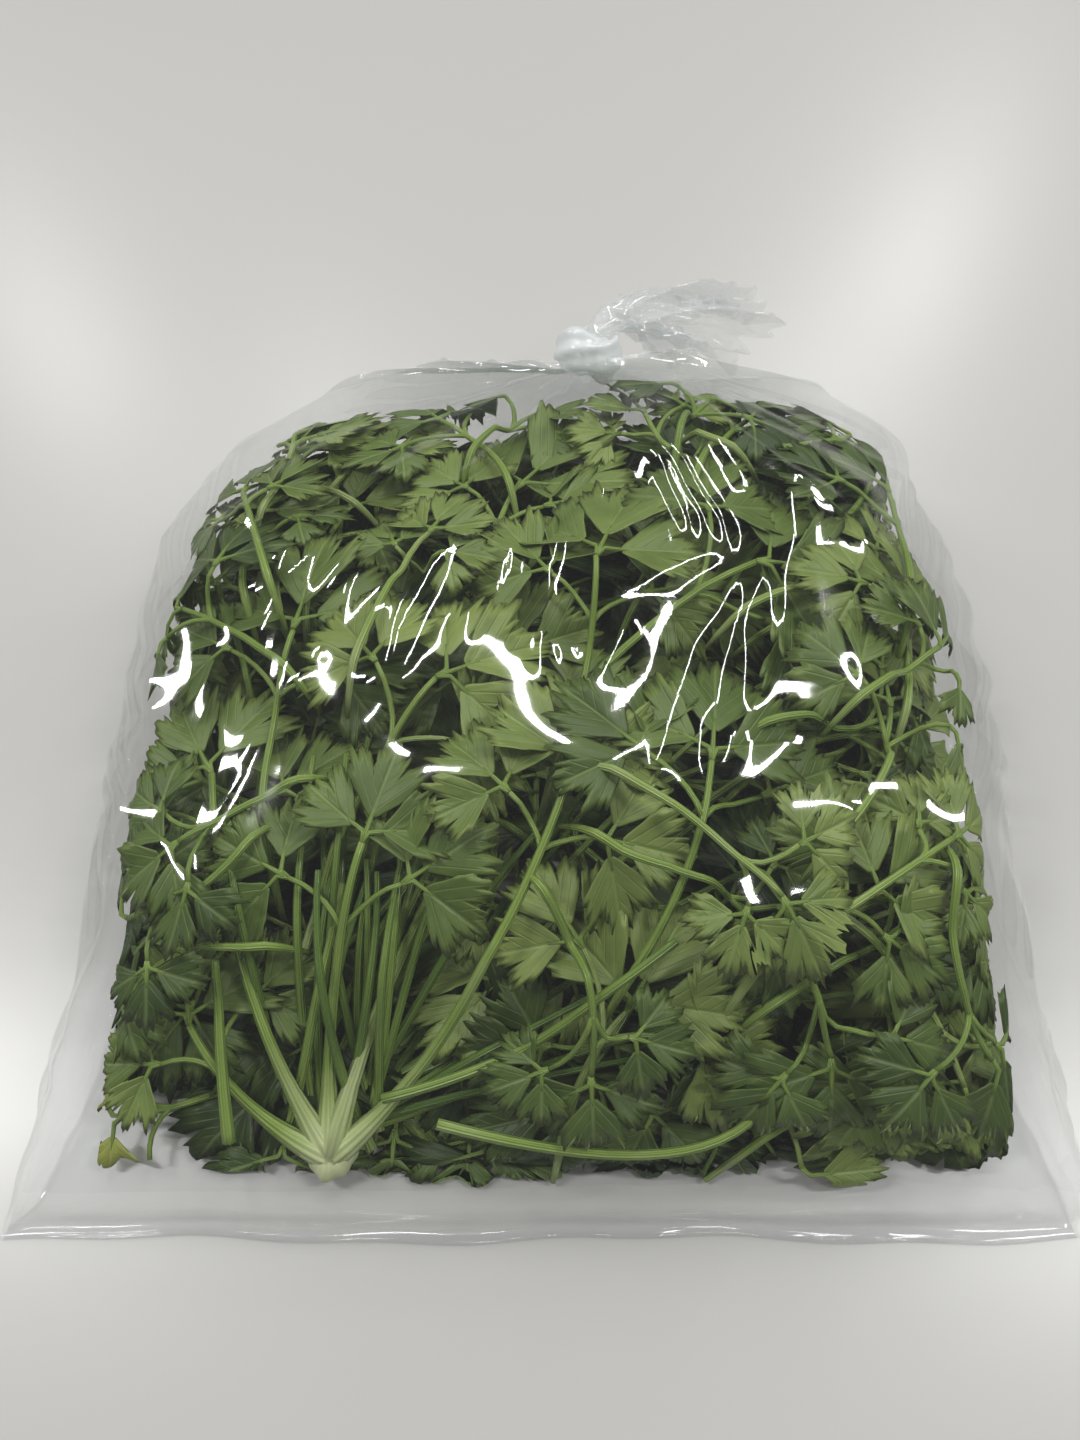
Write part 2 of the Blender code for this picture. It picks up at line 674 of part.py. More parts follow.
def body_rings():
    """The rings of the body's outer face from the seam to the middle of the neck."""
    half = BAG_LENGTH / 2
    rings = [body_loop(y) for y in (-half, -half + 2.5, -half + 5, -152.5, -149.5, -145, *RING_Y)]
    last = rings[-1]
    neck = ring_round(NECK_AT - NECK_AXIS * 7, NECK_AXIS, NECK_RADIUS, NECK_RADIUS, 0.0, 9)
    wide = ring_round(NECK_AT - NECK_AXIS * 11, NECK_AXIS, 15.0, 13.0, 0.0, 9)
    underside = np.clip(-np.sin(np.linspace(0, 2 * np.pi, AROUND, endpoint=False)), 0, 1)[:, None]
    reach = np.array([0.0, 1.0, 0.0]) * (9.0 + 20.0 * underside)
    back = wide + np.array([0.0, 5.0, -10.0]) * underside
    turn = np.linspace(0, 2 * np.pi, AROUND, endpoint=False)
    for t in (0.22, 0.45, 0.68, 0.86):
        ring = bezier((last, last + reach, back, neck), t)
        centre = ring.mean(axis=0)
        pleat = 1 + 0.10 * smooth_step(t / 0.6) * (1 - t) * np.cos(9 * turn)[:, None] * 2
        rings.append(centre + (ring - centre) * pleat)
    rings.append(neck)
    rings.append(ring_round(NECK_AT - NECK_AXIS * 0.2, NECK_AXIS, NECK_RADIUS, NECK_RADIUS, 0.0, 9))
    return rings


def tail_rings():
    """The rings of the tail's outer face from the middle of the neck to its open end."""
    rings = [
        ring_round(NECK_AT + NECK_AXIS * along, NECK_AXIS, NECK_RADIUS, NECK_RADIUS, 0.0, 9)
        for along in (0.2, 1.4, 6.0)
    ]
    foot = NECK_AT + NECK_AXIS * 6
    path = (foot, foot + NECK_AXIS * 16, TAIL_END - TAIL_AXIS * 26, TAIL_END)
    for t in (0.22, 0.42, 0.62, 0.82, 1.0):
        spread = float(smooth_step(t))
        rings.append(ring_round(
            bezier(path, t), bezier_heading(path, t),
            NECK_RADIUS + (TAIL_WIDTH - NECK_RADIUS) * spread,
            NECK_RADIUS + (TAIL_DEPTH - NECK_RADIUS) * spread, 0.2 * spread, 6,
        ))
    return rings


def skins(rings):
    """A ring stack as the outer face of a film, and the same moved in by the film's thickness."""
    outer = np.array(rings)
    outer[..., 2] = np.maximum(outer[..., 2], 0.0)
    along = np.gradient(outer, axis=0)
    around = np.roll(outer, -1, axis=1) - np.roll(outer, 1, axis=1)
    normal = np.cross(along, around)
    normal /= np.linalg.norm(normal, axis=2, keepdims=True) + 1e-12
    return outer, outer - normal * FILM


def film_solid(name, outer, inner, collection, finish):
    """A film bag as one solid: its outer skin, its inner skin, and the open end between them."""
    bm = bmesh.new()

    def skin(rings, outward):
        verts = [[bm.verts.new(Vector(co * MM)) for co in ring] for ring in rings]
        for low, high in zip(verts, verts[1:]):
            for k in range(AROUND):
                face = [low[k], low[(k + 1) % AROUND], high[(k + 1) % AROUND], high[k]]
                bm.faces.new(face[::-1] if outward else face)
        bm.faces.new(verts[0] if outward else verts[0][::-1])
        return verts[-1]

    mouth_out = skin(outer, True)
    mouth_in = skin(inner, False)
    for k in range(AROUND):
        j = (k + 1) % AROUND
        bm.faces.new([mouth_in[k], mouth_in[j], mouth_out[j], mouth_out[k]])
    bmesh.ops.triangulate(bm, faces=bm.faces)
    mesh = bpy.data.meshes.new(name)
    bm.to_mesh(mesh)
    bm.free()
    mesh.shade_smooth()
    return new_object(name, mesh, collection, finish)


def build_bag(collection, finish):
    """The bag's body, whose seam is solid, and the gathered film beyond the knot."""
    outer, inner = skins(body_rings())
    hem = inner[2].copy()
    hem[:, 1] = -BAG_LENGTH / 2 + 6.0
    hem[:, 0] *= 0.95
    hem[:, 2] = np.where(np.arange(AROUND) <= AROUND // 2, 1.05, 0.55)
    inner = np.concatenate([hem[None], inner[3:]])
    film_solid("bag_film", outer, inner, collection, finish)
    outer, inner = skins(tail_rings())
    excess = max(outer[-1, :, 1].max(), inner[-1, :, 1].max()) - BAG_LENGTH / 2
    outer[-1, :, 1] -= excess
    inner[-1, :, 1] -= excess
    film_solid("bag_tail", outer, inner[1:], collection, finish)


def build_knot(collection, finish):
    """The film wound round the neck: a lumpy ring."""
    bpy.ops.mesh.primitive_torus_add(
        major_radius=1.0, minor_radius=0.4, major_segments=14, minor_segments=6
    )
    made = bpy.context.object
    for holder in list(made.users_collection):
        holder.objects.unlink(made)
    collection.objects.link(made)
    made.name = "bag_knot"
    made.data.name = "bag_knot"
    centre_line = NECK_RADIUS + 0.5 + KNOT_RADIUS
    for vert in made.data.vertices:
        turn = math.atan2(vert.co.y, vert.co.x)
        out = math.hypot(vert.co.x, vert.co.y) - 1.0
        lump = 1 + 0.16 * math.sin(3 * turn + 0.6)
        thick = KNOT_RADIUS / 0.4
        radius = centre_line + out * thick * (lump if out > 0 else 1.0)
        vert.co = Vector((
            math.cos(turn) * radius,
            math.sin(turn) * radius,
            vert.co.z * thick * 1.15 * lump,
        )) * MM
    made.rotation_mode = "QUATERNION"
    made.rotation_quaternion = NECK_AXIS.to_track_quat("Z", "Y")
    made.location = (NECK_AT - NECK_AXIS * 0.5) * MM
    made.data.materials.append(finish)
    made.data.shade_smooth()
    return made


def main():
    for leftover in list(bpy.data.objects):
        bpy.data.objects.remove(leftover)
    bunch = new_collection("parsley_bunch")
    leaf_green = material("parsley_leaf", (0.07, 0.12, 0.035), 0.5)
    yellow_green = material("parsley_yellowed", (0.33, 0.34, 0.09), 0.5)
    film_clear = material("film_clear", (0.9, 0.92, 0.92), 0.1, alpha=0.2)
    film_milky = material("film_milky", (0.8, 0.83, 0.84), 0.25, alpha=0.7)
    rng = random.Random(SEED)
    fronds = plan_fronds(rng)
    heights = HeightMap()
    for frond in fronds:
        frond.lay(heights)
    loose = [frond for frond in fronds if not frond.on_crown]
    for number, frond in enumerate(loose, 1):
        finish = yellow_green if frond.name == "lower_left_1" else leaf_green
        build_frond(f"frond_{number:02d}", frond, bunch, finish)
    build_crown([frond for frond in fronds if frond.on_crown], bunch, leaf_green)
    build_bag(bunch, film_clear)
    build_knot(bunch, film_milky)


main()
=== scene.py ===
"""A bunch of flat-leaf parsley in a clear, knotted plastic bag, dressed for rendering.

The bag lies on a table with its sealed seam towards the camera and its knot at the back. The
fronds lie in the same places as the solids they stand for: both work their layout out from the
same named values, in the pile's own coordinates (u across as an angle, v along from 0 to 1, and
w from 0 at the bag's floor to 1 under its top).
"""

from __future__ import annotations

import logging
import math
import random
from dataclasses import dataclass, field
from enum import Enum
from typing import Callable, Iterable, Sequence

import bmesh
import bpy
import numpy as np
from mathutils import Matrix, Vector

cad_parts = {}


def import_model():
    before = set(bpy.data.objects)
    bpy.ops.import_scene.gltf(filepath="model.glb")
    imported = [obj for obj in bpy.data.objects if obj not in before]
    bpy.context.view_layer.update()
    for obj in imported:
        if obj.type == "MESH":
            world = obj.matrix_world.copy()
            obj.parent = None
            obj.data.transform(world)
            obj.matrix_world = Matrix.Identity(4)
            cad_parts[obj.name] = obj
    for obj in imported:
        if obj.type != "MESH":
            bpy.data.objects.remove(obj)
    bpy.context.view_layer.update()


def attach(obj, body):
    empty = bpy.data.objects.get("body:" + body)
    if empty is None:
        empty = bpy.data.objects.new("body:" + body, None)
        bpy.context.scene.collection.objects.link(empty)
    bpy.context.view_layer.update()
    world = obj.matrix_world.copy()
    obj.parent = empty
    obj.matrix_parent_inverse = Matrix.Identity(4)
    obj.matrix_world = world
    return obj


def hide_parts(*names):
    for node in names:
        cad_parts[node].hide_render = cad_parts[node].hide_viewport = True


log = logging.getLogger("parsley")

MM = 0.001

# The bag and the pile in it, in millimetres
BAG_LENGTH = 320.0
BAG_WIDTH = 300.0
PILE_FRONT = -154.0
PILE_LENGTH = 266.0
PILE_SHIFT = 3.0
BACK_SHIFT = 10.0
PILE_HEIGHT = 80.0
FLOOR = 1.7
BLADE = 0.7
LEAF_GAP = 1.0
CELL = 2.2
SEED = 12
CROWN_AT = (-54.0, -139.0)
CROWN_RADIUS = 8.0
CROWN_HEIGHT = 9.0
RISE = 13.0
FLAT_SHARE = 0.16
U_LIMIT = math.radians(76)
# The leaf at the bag's front corner that has yellowed, and how far fillers keep off it
YELLOWED_FROND = "lower_left_1"
YELLOWED_AT = (-114.0, -130.0)
YELLOWED_REACH = 26.0
# How much wider than laid out the whole pile lies on the table, and its front
FLARE_ALL = 0.025
FLARE_FRONT = 0.06
FLARE_FRONT_Y = -20.0
FLARE_FRONT_LENGTH = 100.0
FLARE_HEIGHT = 65.0
FLARE_LOST_ABOVE = 0.8

# A solid leaf's outline, as (angle from its leaflet's rib in degrees, share of the leaf's size)
SIDE_TURN = 68.0
RIB_POINT = 0.10
FOOT_HALF_WIDTH = 0.03
MIDDLE_LEAFLET = (
    (-29, 0.34), (-22, 0.78), (-11, 0.68), (0, 0.96), (11, 0.68), (22, 0.78), (29, 0.34),
)
SIDE_LEAFLET = ((-29, 0.34), (-19, 0.76), (0, 0.90), (19, 0.76), (29, 0.34))

# Fronds: foot and tip in mm, bow, sizes of the end and side leaves, turn and height
CROWN = None
SEEN_FRONDS = {
    "lower_left_1": ((-70, -112), (-108, -128), 6, 30, 20, 10, 0.30),
    "lower_left_2": (CROWN, (-92, -106), 8, 28, 22, -20, 0.62),
    "lower_mid_1": ((40, -60), (8, -124), 8, 34, 24, 30, 0.50),
    "lower_right_1": ((20, -96), (74, -124), -10, 34, 26, -10, 0.52),
    "lower_right_2": ((60, -70), (100, -116), 8, 32, 26, 20, 0.62),
    "right_1": ((40, -84), (98, -76), -8, 32, 26, 30, 0.74),
    "right_2": ((50, -40), (104, -28), 10, 34, 26, 40, 0.80),
    "right_3": ((70, 6), (104, 30), -8, 34, 26, 10, 0.80),
    "upper_right_1": ((44, 0), (88, 58), 8, 30, 20, -20, 0.82),
    "upper_left_1": ((-84, -44), (-100, 26), -10, 28, 20, 10, 0.78),
    "upper_left_2": ((-70, 0), (-62, 52), 6, 30, 22, 20, 0.84),
    "upper_mid_1": ((30, 20), (48, 68), -6, 32, 24, -10, 0.84),
    "left_1": (CROWN, (-92, -40), 12, 32, 24, 25, 0.84),
    "upper_mid_2": ((-20, -10), (-8, 58), 5, 42, 24, -8, 0.90),
    "left_2": ((-74, -66), (-70, -2), 8, 34, 26, 10, 0.90),
    "middle_1": ((4, -40), (16, 18), -6, 36, 26, -20, 0.92),
    "long_stem": (CROWN, (62, 18), 42, 40, 30, -25, 0.95),
    "middle_2": ((-62, -84), (-28, -22), 10, 32, 26, -20, 0.95),
    "fork_stem": (CROWN, (-46, -66), 8, 26, 26, 0, 0.95),
    "middle_4": ((-34, -86), (-6, -6), -10, 30, 24, 10, 0.80),
    "middle_3": (CROWN, (8, -50), -16, 30, 24, 5, 0.97),
    "right_4": ((22, -100), (44, -48), -8, 32, 28, 0, 0.97),
    "front_pair": ((6, -134), (22, -106), 5, 34, 26, 15, 0.93),
}
# Loose stems that lie on the pile: their course in mm, foot and tip radius, tone and height
LYING_STEMS = (
    (((-85, -92), (-83, -112), (-79, -136)), 1.1, 1.7, 0.30, 0.74),
    (((60, -122), (50, -146), (10, -141), (-26, -132)), 1.1, 1.5, 0.45, 0.86),
    (((34, -92), (-2, -118), (-40, -126)), 1.1, 1.4, 0.28, 0.86),
)
LYING_SAMPLES = 40
HIDDEN_FRONDS = 5
LOW_FROND = 0.5
HEIGHT_SHARE = 0.86
LEAST_ROOM = 12.0
NODE_SHARE = 0.72
BRANCH_ANGLE = 48.0
STEM_SAMPLES = 48


def smooth_step(t: np.ndarray | float) -> np.ndarray:
    """Rises from 0 to 1 with no corner."""
    t = np.clip(t, 0.0, 1.0)
    return t * t * (3 - 2 * t)


def soft_limit(x: np.ndarray, start: np.ndarray, end: np.ndarray) -> np.ndarray:
    """Presses x together past start so that it never reaches end.

    Args:
        x: Values of either sign.
        start: How large they may be and stay as they are.
        end: What their size stays under.

    Returns:
        The pressed values.
    """
    over = np.maximum(np.abs(x) - start, 0.0)
    room = end - start
    return np.sign(x) * (np.minimum(np.abs(x), start) + room * (1 - np.exp(-over / room)))


# The pile's own coordinates


def half_width(v: np.ndarray) -> np.ndarray:
    """Gives half the pile's width at v.

    Args:
        v: Share of the pile's length.

    Returns:
        Millimetres.
    """
    taper = 12 * smooth_step((v - 0.62) / 0.38) + 24 * smooth_step((v - 0.86) / 0.14)
    toe = 4 * (1 - smooth_step(v / 0.3))
    return 117 + toe + 5 * np.sin(np.pi * np.clip(v / 0.8, 0, 1)) - taper


def middle(v: np.ndarray) -> np.ndarray:
    """Gives how far the pile's middle lies to the right of the seam's at v."""
    return PILE_SHIFT + BACK_SHIFT * smooth_step((v - 0.70) / 0.28)


def crest(v: np.ndarray) -> np.ndarray:
    """Gives the height of the pile's ridge at v."""
    front = np.sin(0.5 * np.pi * np.clip(v / 0.42, 0, 1)) ** 0.9
    return 18 + (PILE_HEIGHT - 18) * front - 30 * smooth_step((v - 0.60) / 0.40)


def top_and_bottom(u: np.ndarray, v: np.ndarray) -> tuple[np.ndarray, np.ndarray]:
    """Gives the heights of the pile's top and underside.

    Args:
        u: Angle across the pile, in radians.
        v: Share of the pile's length.

    Returns:
        Both heights, in millimetres.
    """
    c = crest(v)
    top = 0.55 * c + 0.45 * c * np.cos(u) ** 0.8
    bottom = FLOOR + 0.25 * c * (1 - np.cos(u)) ** 2
    return top, bottom


def place(u: np.ndarray, v: np.ndarray, w: np.ndarray) -> np.ndarray:
    """Turns pile coordinates into points in millimetres.

    Args:
        u: Angle across the pile, in radians.
        v: Share of the pile's length.
        w: Share of the pile's height there.

    Returns:
        Points, with x, y and z in the last axis.
    """
    top, bottom = top_and_bottom(u, v)
    x = middle(v) + half_width(v) * np.sin(u)
    y = PILE_FRONT + PILE_LENGTH * v + 0 * u
    return np.stack([x, y, bottom + w * (top - bottom)], axis=-1)


def plan_to_uv(x: np.ndarray, y: np.ndarray) -> tuple[np.ndarray, np.ndarray]:
    """Gives the u and v of a place seen from above.

    Args:
        x: Millimetres to the right.
        y: Millimetres to the back.

    Returns:
        The angle across and the share along.
    """
    v = np.clip((y - PILE_FRONT) / PILE_LENGTH, 0.03, 0.955)
    u = np.arcsin(np.clip((x - middle(v)) / half_width(v), -0.93, 0.93))
    return u, v


def steps_of(
    u: np.ndarray, v: np.ndarray, w: np.ndarray | float
) -> tuple[np.ndarray, np.ndarray, np.ndarray]:
    """Gives the millimetres in one unit of u, of v and of w at a place.

    Args:
        u: Angle across the pile, in radians.
        v: Share of the pile's length.
        w: Share of the pile's height there.

    Returns:
        The three lengths.
    """
    d = 1e-3
    along_u = (place(u + d, v, w) - place(u - d, v, w)) / (2 * d)
    along_v = (place(u, v + d, w) - place(u, v - d, w)) / (2 * d)
    size_u = np.maximum(np.linalg.norm(along_u, axis=-1), 45.0)
    size_v = np.linalg.norm(along_v, axis=-1)
    normal = np.cross(along_u, along_v)
    upright = np.abs(normal[..., 2]) / np.linalg.norm(normal, axis=-1)
    top, bottom = top_and_bottom(u, v)
    return size_u, size_v, (top - bottom) * np.maximum(upright, 0.35)


class HeightMap:
    """How high, as w, the pile stands so far over each cell of u and v."""

    U_END = math.radians(80)

    def __init__(self) -> None:
        """Starts with an empty pile."""
        self.columns = int(2 * self.U_END * 120 / CELL)
        self.rows = int(PILE_LENGTH / CELL)
        u = (np.arange(self.columns) + 0.5) / self.columns * 2 * self.U_END - self.U_END
        v = (np.arange(self.rows) + 0.5) / self.rows
        grid_u, grid_v = np.meshgrid(u, v, indexing="ij")
        self.step_w = steps_of(grid_u, grid_v, 0.7)[2]
        top, bottom = top_and_bottom(grid_u, grid_v)
        self.depth = top - bottom
        self.w = np.zeros((self.columns, self.rows))

    def cells(self, u: np.ndarray, v: np.ndarray) -> tuple[np.ndarray, np.ndarray]:
        """Gives the cell of each point.

        Args:
            u: Angles across the pile.
            v: Shares of its length.

        Returns:
            Column and row of each cell.
        """
        i = ((u + self.U_END) / (2 * self.U_END) * self.columns).astype(int)
        j = (v * self.rows).astype(int)
        return np.clip(i, 0, self.columns - 1), np.clip(j, 0, self.rows - 1)

    def above(self, u: np.ndarray, v: np.ndarray, clearance: np.ndarray | float) -> np.ndarray:
        """Gives the least w that clears the pile round each point by so many millimetres.

        Args:
            u: Angles across the pile.
            v: Shares of its length.
            clearance: Millimetres to stay over it.

        Returns:
            One w for each point.
        """
        i, j = self.cells(u, v)
        best = np.zeros(np.shape(u))
        for di in (-1, 0, 1):
            for dj in (-1, 0, 1):
                ii = np.clip(i + di, 0, self.columns - 1)
                jj = np.clip(j + dj, 0, self.rows - 1)
                best = np.maximum(best, self.w[ii, jj])
        return best + clearance / self.step_w[i, j]

    def raise_to(self, u: np.ndarray, v: np.ndarray, w: np.ndarray, half: np.ndarray | float) -> None:
        """Raises the pile to w, and half a thickness over it, under each point."""
        i, j = self.cells(u, v)
        np.maximum.at(self.w, (i, j), w + half / self.step_w[i, j])

    def mark_round(self, x: float, y: float, reach: float, w: float) -> None:
        """Sets the pile to w within so many millimetres of a place seen from above.

        Args:
            x: Millimetres to the right.
            y: Millimetres to the back.
            reach: How far round the place, in millimetres.
            w: The new height.
        """
        u = (np.arange(self.columns) + 0.5) / self.columns * 2 * self.U_END - self.U_END
        v = (np.arange(self.rows) + 0.5) / self.rows
        grid_u, grid_v = np.meshgrid(u, v, indexing="ij")
        spots = place(grid_u, grid_v, 0.5)
        self.w[np.hypot(spots[..., 0] - x, spots[..., 1] - y) < reach] = w

    def raise_over(self, points: np.ndarray) -> None:
        """Raises the pile to finished points, given in millimetres.

        Args:
            points: One row for each point.
        """
        v = (points[:, 1] - PILE_FRONT) / PILE_LENGTH
        u = np.arcsin(np.clip((points[:, 0] - middle(v)) / half_width(v), -0.98, 0.98))
        top, bottom = top_and_bottom(u, v)
        self.raise_to(u, v, (points[:, 2] - bottom) / (top - bottom), 0.3)

    def mean_near(self, u: float, v: float, reach: float) -> float:
        """Gives the pile's mean height within so many millimetres of a place.

        Args:
            u: Angle across the pile.
            v: Share of its length.
            reach: How far round the place, in millimetres.

        Returns:
            The mean w.
        """
        i, j = self.cells(np.array(u), np.array(v))
        n = max(1, int(reach / CELL))
        part = self.w[max(0, int(i) - n) : int(i) + n + 1, max(0, int(j) - n) : int(j) + n + 1]
        return float(part.mean())


# Leaves and stems


def leaf_outline() -> tuple[np.ndarray, np.ndarray]:
    """Gives the solid leaf's outline round its rib point, as angles and shares of its size.

    Returns:
        Angles in radians, and the share of the leaf's size at each.
    """
    points = [(a - SIDE_TURN, r) for a, r in SIDE_LEAFLET]
    points += MIDDLE_LEAFLET
    points += [(a + SIDE_TURN, r) for a, r in SIDE_LEAFLET]
    angles = np.radians([p[0] for p in points])
    shares = np.array([p[1] for p in points])
    foot = math.atan2(FOOT_HALF_WIDTH, -RIB_POINT)
    foot_share = math.hypot(FOOT_HALF_WIDTH, RIB_POINT)
    angles = np.concatenate([[-foot], angles, [foot]])
    shares = np.concatenate([[foot_share], shares, [foot_share]])
    return angles, shares


class Leaf:
    """A blade of three leaflets on the pile: where its foot is, its heading and its slopes."""

    def __init__(self, u: float, v: float, heading: float, size: float, rng: random.Random) -> None:
        """Sets the leaf's place in the pile and its slopes.

        Args:
            u: Angle across the pile.
            v: Share of its length.
            heading: Its direction, in radians.
            size: From rib point to tip, in millimetres.
            rng: The source of its slopes.
        """
        self.u, self.v, self.size = u, v, size
        self.heading = heading
        self.forward_slope = rng.uniform(-0.16, 0.10)
        self.side_slope = rng.uniform(-0.22, 0.22)
        self.droop = rng.uniform(0.10, 0.30)
        self.fold = rng.uniform(0.06, 0.16)
        self.w = 0.0
        self.u_limit = U_LIMIT
        self.v_limit = 0.475
        self.hang = 0.0

    def slope(self, angle: np.ndarray) -> np.ndarray:
        """Gives the rise for each millimetre out from the rib point, at an angle.

        Args:
            angle: Angles from the leaf's heading, in radians.

        Returns:
            One slope for each angle.
        """
        leaflet = np.clip(np.round(angle / math.radians(SIDE_TURN)), -1, 1)
        from_rib = np.abs(angle - leaflet * math.radians(SIDE_TURN)) / math.radians(29)
        return (
            self.forward_slope * np.cos(angle)
            + self.side_slope * np.sin(angle)
            - self.droop * (np.minimum(np.abs(angle), 3.2 - np.abs(angle)) / 1.6) ** 1.5
            + self.fold * (np.minimum(from_rib, 1.2) - 0.5)
        )

    def room(
        self, u: np.ndarray, v: np.ndarray, toward_u: np.ndarray, toward_v: np.ndarray
    ) -> np.ndarray:
        """Gives the millimetres from a place to the pile's edge, along a direction.

        Args:
            u: Angle across the pile.
            v: Share of its length.
            toward_u: Change of u for each millimetre.
            toward_v: Change of v for each millimetre.

        Returns:
            Millimetres; less than nothing past the edge.
        """
        room_u = (self.u_limit - np.sign(toward_u) * u) / np.maximum(np.abs(toward_u), 1e-6)
        room_v = self.v_limit - np.sign(toward_v) * (v - 0.5)
        return np.minimum(room_u, room_v / np.maximum(np.abs(toward_v), 1e-6))

    def has_room(self, angle: float) -> bool:
        """Tells whether a leaflet at an angle has room to lie before the pile's edge.

        Args:
            angle: Angle from the leaf's heading, in radians.

        Returns:
            True if it has.
        """
        size_u, size_v, _ = steps_of(self.u, self.v, 0.7)
        turned = self.heading + angle
        room = self.room(self.u, self.v, math.cos(turned) / size_u, math.sin(turned) / size_v)
        return bool(room > LEAST_ROOM)

    def uvw(
        self, angle: np.ndarray, share: np.ndarray, lift: np.ndarray | float = 0.0
    ) -> tuple[np.ndarray, np.ndarray, np.ndarray]:
        """Gives the pile coordinates of points of the leaf.

        Args:
            angle: Angle from the leaf's heading, in radians.
            share: Distance from the rib point, as a share of the leaf's size.
            lift: Extra height in millimetres.

        Returns:
            The points' u, v and w.
        """
        size_u, size_v, size_w = steps_of(self.u, self.v, 0.7)
        rise = self.slope(angle) * min(1.0, float(size_w) / 55.0)
        rib_u = self.u + RIB_POINT * self.size * math.cos(self.heading) / size_u
        rib_v = self.v + RIB_POINT * self.size * math.sin(self.heading) / size_v
        toward_u = np.cos(self.heading + angle) / size_u
        toward_v = np.sin(self.heading + angle) / size_v
        room = np.maximum(self.room(rib_u, rib_v, toward_u, toward_v), 5.0)
        if self.hang > 0:
            room = room * (1 - 0.22 * (0.5 + 0.5 * np.sin(7 * angle + 90 * self.u)))
        reach = soft_limit(share * self.size, 0.6 * room, room)
        u, v = rib_u + toward_u * reach, rib_v + toward_v * reach
        w = self.w + (rise * reach + lift) / size_w
        if self.hang > 0:
            top, bottom = top_and_bottom(self.u, self.v)
            w = np.maximum(w - self.hang * (share * self.size - reach) / (top - bottom), 0.03)
        return u, v, w

    def footprint(self) -> tuple[np.ndarray, np.ndarray]:
        """Gives points spread over the whole blade, close enough for the height map.

        Returns:
            Angles from the heading, and shares of the leaf's size.
        """
        angles, shares = leaf_outline()
        fine = np.linspace(angles[0], angles[-1], 110)
        edge = np.interp(fine, angles, shares)
        rings = np.linspace(0.0, 1.04, 26)[:, None]
        return np.broadcast_to(fine, (26, 110)), rings * edge

    def settle(self, heights: HeightMap, target: float, least: float) -> None:
        """Lowers the leaf to its target height, or onto what lies below it.

        Args:
            heights: The pile so far.
            target: The height that it should have.
            least: The height of its stalk's end.
        """
        self.w = 0.0
        u, v, w = self.uvw(*self.footprint())
        needed = heights.above(u, v, BLADE / 2 + LEAF_GAP) - w
        self.w = max(float(needed.max()), target, least)

    def cover(self, heights: HeightMap) -> None:
        """Adds the leaf to the height map."""
        u, v, w = self.uvw(*self.footprint())
        heights.raise_to(u, v, w, BLADE / 2)


def envelope(lower: np.ndarray, width: int) -> np.ndarray:
    """Gives a smooth line that stays on or over lower.

    Args:
        lower: Heights along a line.
        width: How many samples on either side the smoothing takes in.

    Returns:
        One height for each sample.
    """
    padded = np.pad(lower, width, mode="edge")
    highest = np.array([padded[i : i + 2 * width + 1].max() for i in range(len(lower))])
    padded = np.pad(highest, width, mode="edge")
    kernel = np.ones(2 * width + 1) / (2 * width + 1)
    return np.maximum(np.convolve(padded, kernel, mode="valid"), lower)


class Stalk:
    """A round stem or branch along the pile, from its foot to its tip."""

    def __init__(self, plan: np.ndarray, radius_foot: float, radius_tip: float) -> None:
        """Sets the stalk's course, seen from above, and its radii.

        Args:
            plan: Points from foot to tip, in millimetres.
            radius_foot: Radius at the foot.
            radius_tip: Radius at the tip.
        """
        self.u, self.v = plan_to_uv(plan[:, 0], plan[:, 1])
        self.radius = np.linspace(radius_foot, radius_tip, len(plan))
        self.w = np.zeros(len(plan))

    def settle(self, heights: HeightMap, target: np.ndarray, on_crown: bool = False) -> None:
        """Lays the stalk over the pile, at its target height or above it.

        Args:
            heights: The pile so far.
            target: The height that each of its points should have.
            on_crown: True if it grows from the crown.
        """
        foot_w = (CROWN_HEIGHT - FLOOR) / 24.0
        size_u, size_v, _ = steps_of(self.u, self.v, 0.7)
        lower = target * 0.0
        for side in (-1, -0.5, 0, 0.5, 1):
            reach = side * (self.radius + 0.8)
            across_u, across_v = -np.gradient(self.v) * size_v, np.gradient(self.u) * size_u
            length = np.hypot(across_u, across_v) + 1e-9
            u = self.u + across_u / length * reach / size_u
            v = self.v + across_v / length * reach / size_v
            lower = np.maximum(lower, heights.above(u, v, self.radius + LEAF_GAP))
        if on_crown:
            plan = self.points()[:, :2] - CROWN_AT
            free = smooth_step((np.linalg.norm(plan, axis=1) - CROWN_RADIUS) / 32.0)
            lower, target = lower * free, target * free + foot_w * (1 - free)
        self.w = envelope(np.maximum(lower, target), max(2, len(self.w) // 9))

    def lift_end(self, w: float, share: float) -> None:
        """Raises the last part of the stalk so that its tip reaches w."""
        along = np.linspace(0, 1, len(self.w))
        self.w += max(0.0, w - self.w[-1]) * smooth_step((along - share) / (1 - share))

    def cover(self, heights: HeightMap) -> None:
        """Adds the stalk to the height map.

        Args:
            heights: The pile so far.
        """
        size_u, size_v, _ = steps_of(self.u, self.v, 0.7)
        for side in np.linspace(-1, 1, 5):
            for turn_u, turn_v in ((1, 0), (0, 1)):
                u = self.u + side * self.radius * turn_u / size_u
                v = self.v + side * self.radius * turn_v / size_v
                heights.raise_to(u, v, self.w, self.radius)

    def points(self) -> np.ndarray:
        """Gives the stalk's centre line in millimetres."""
        return place(self.u, self.v, self.w)


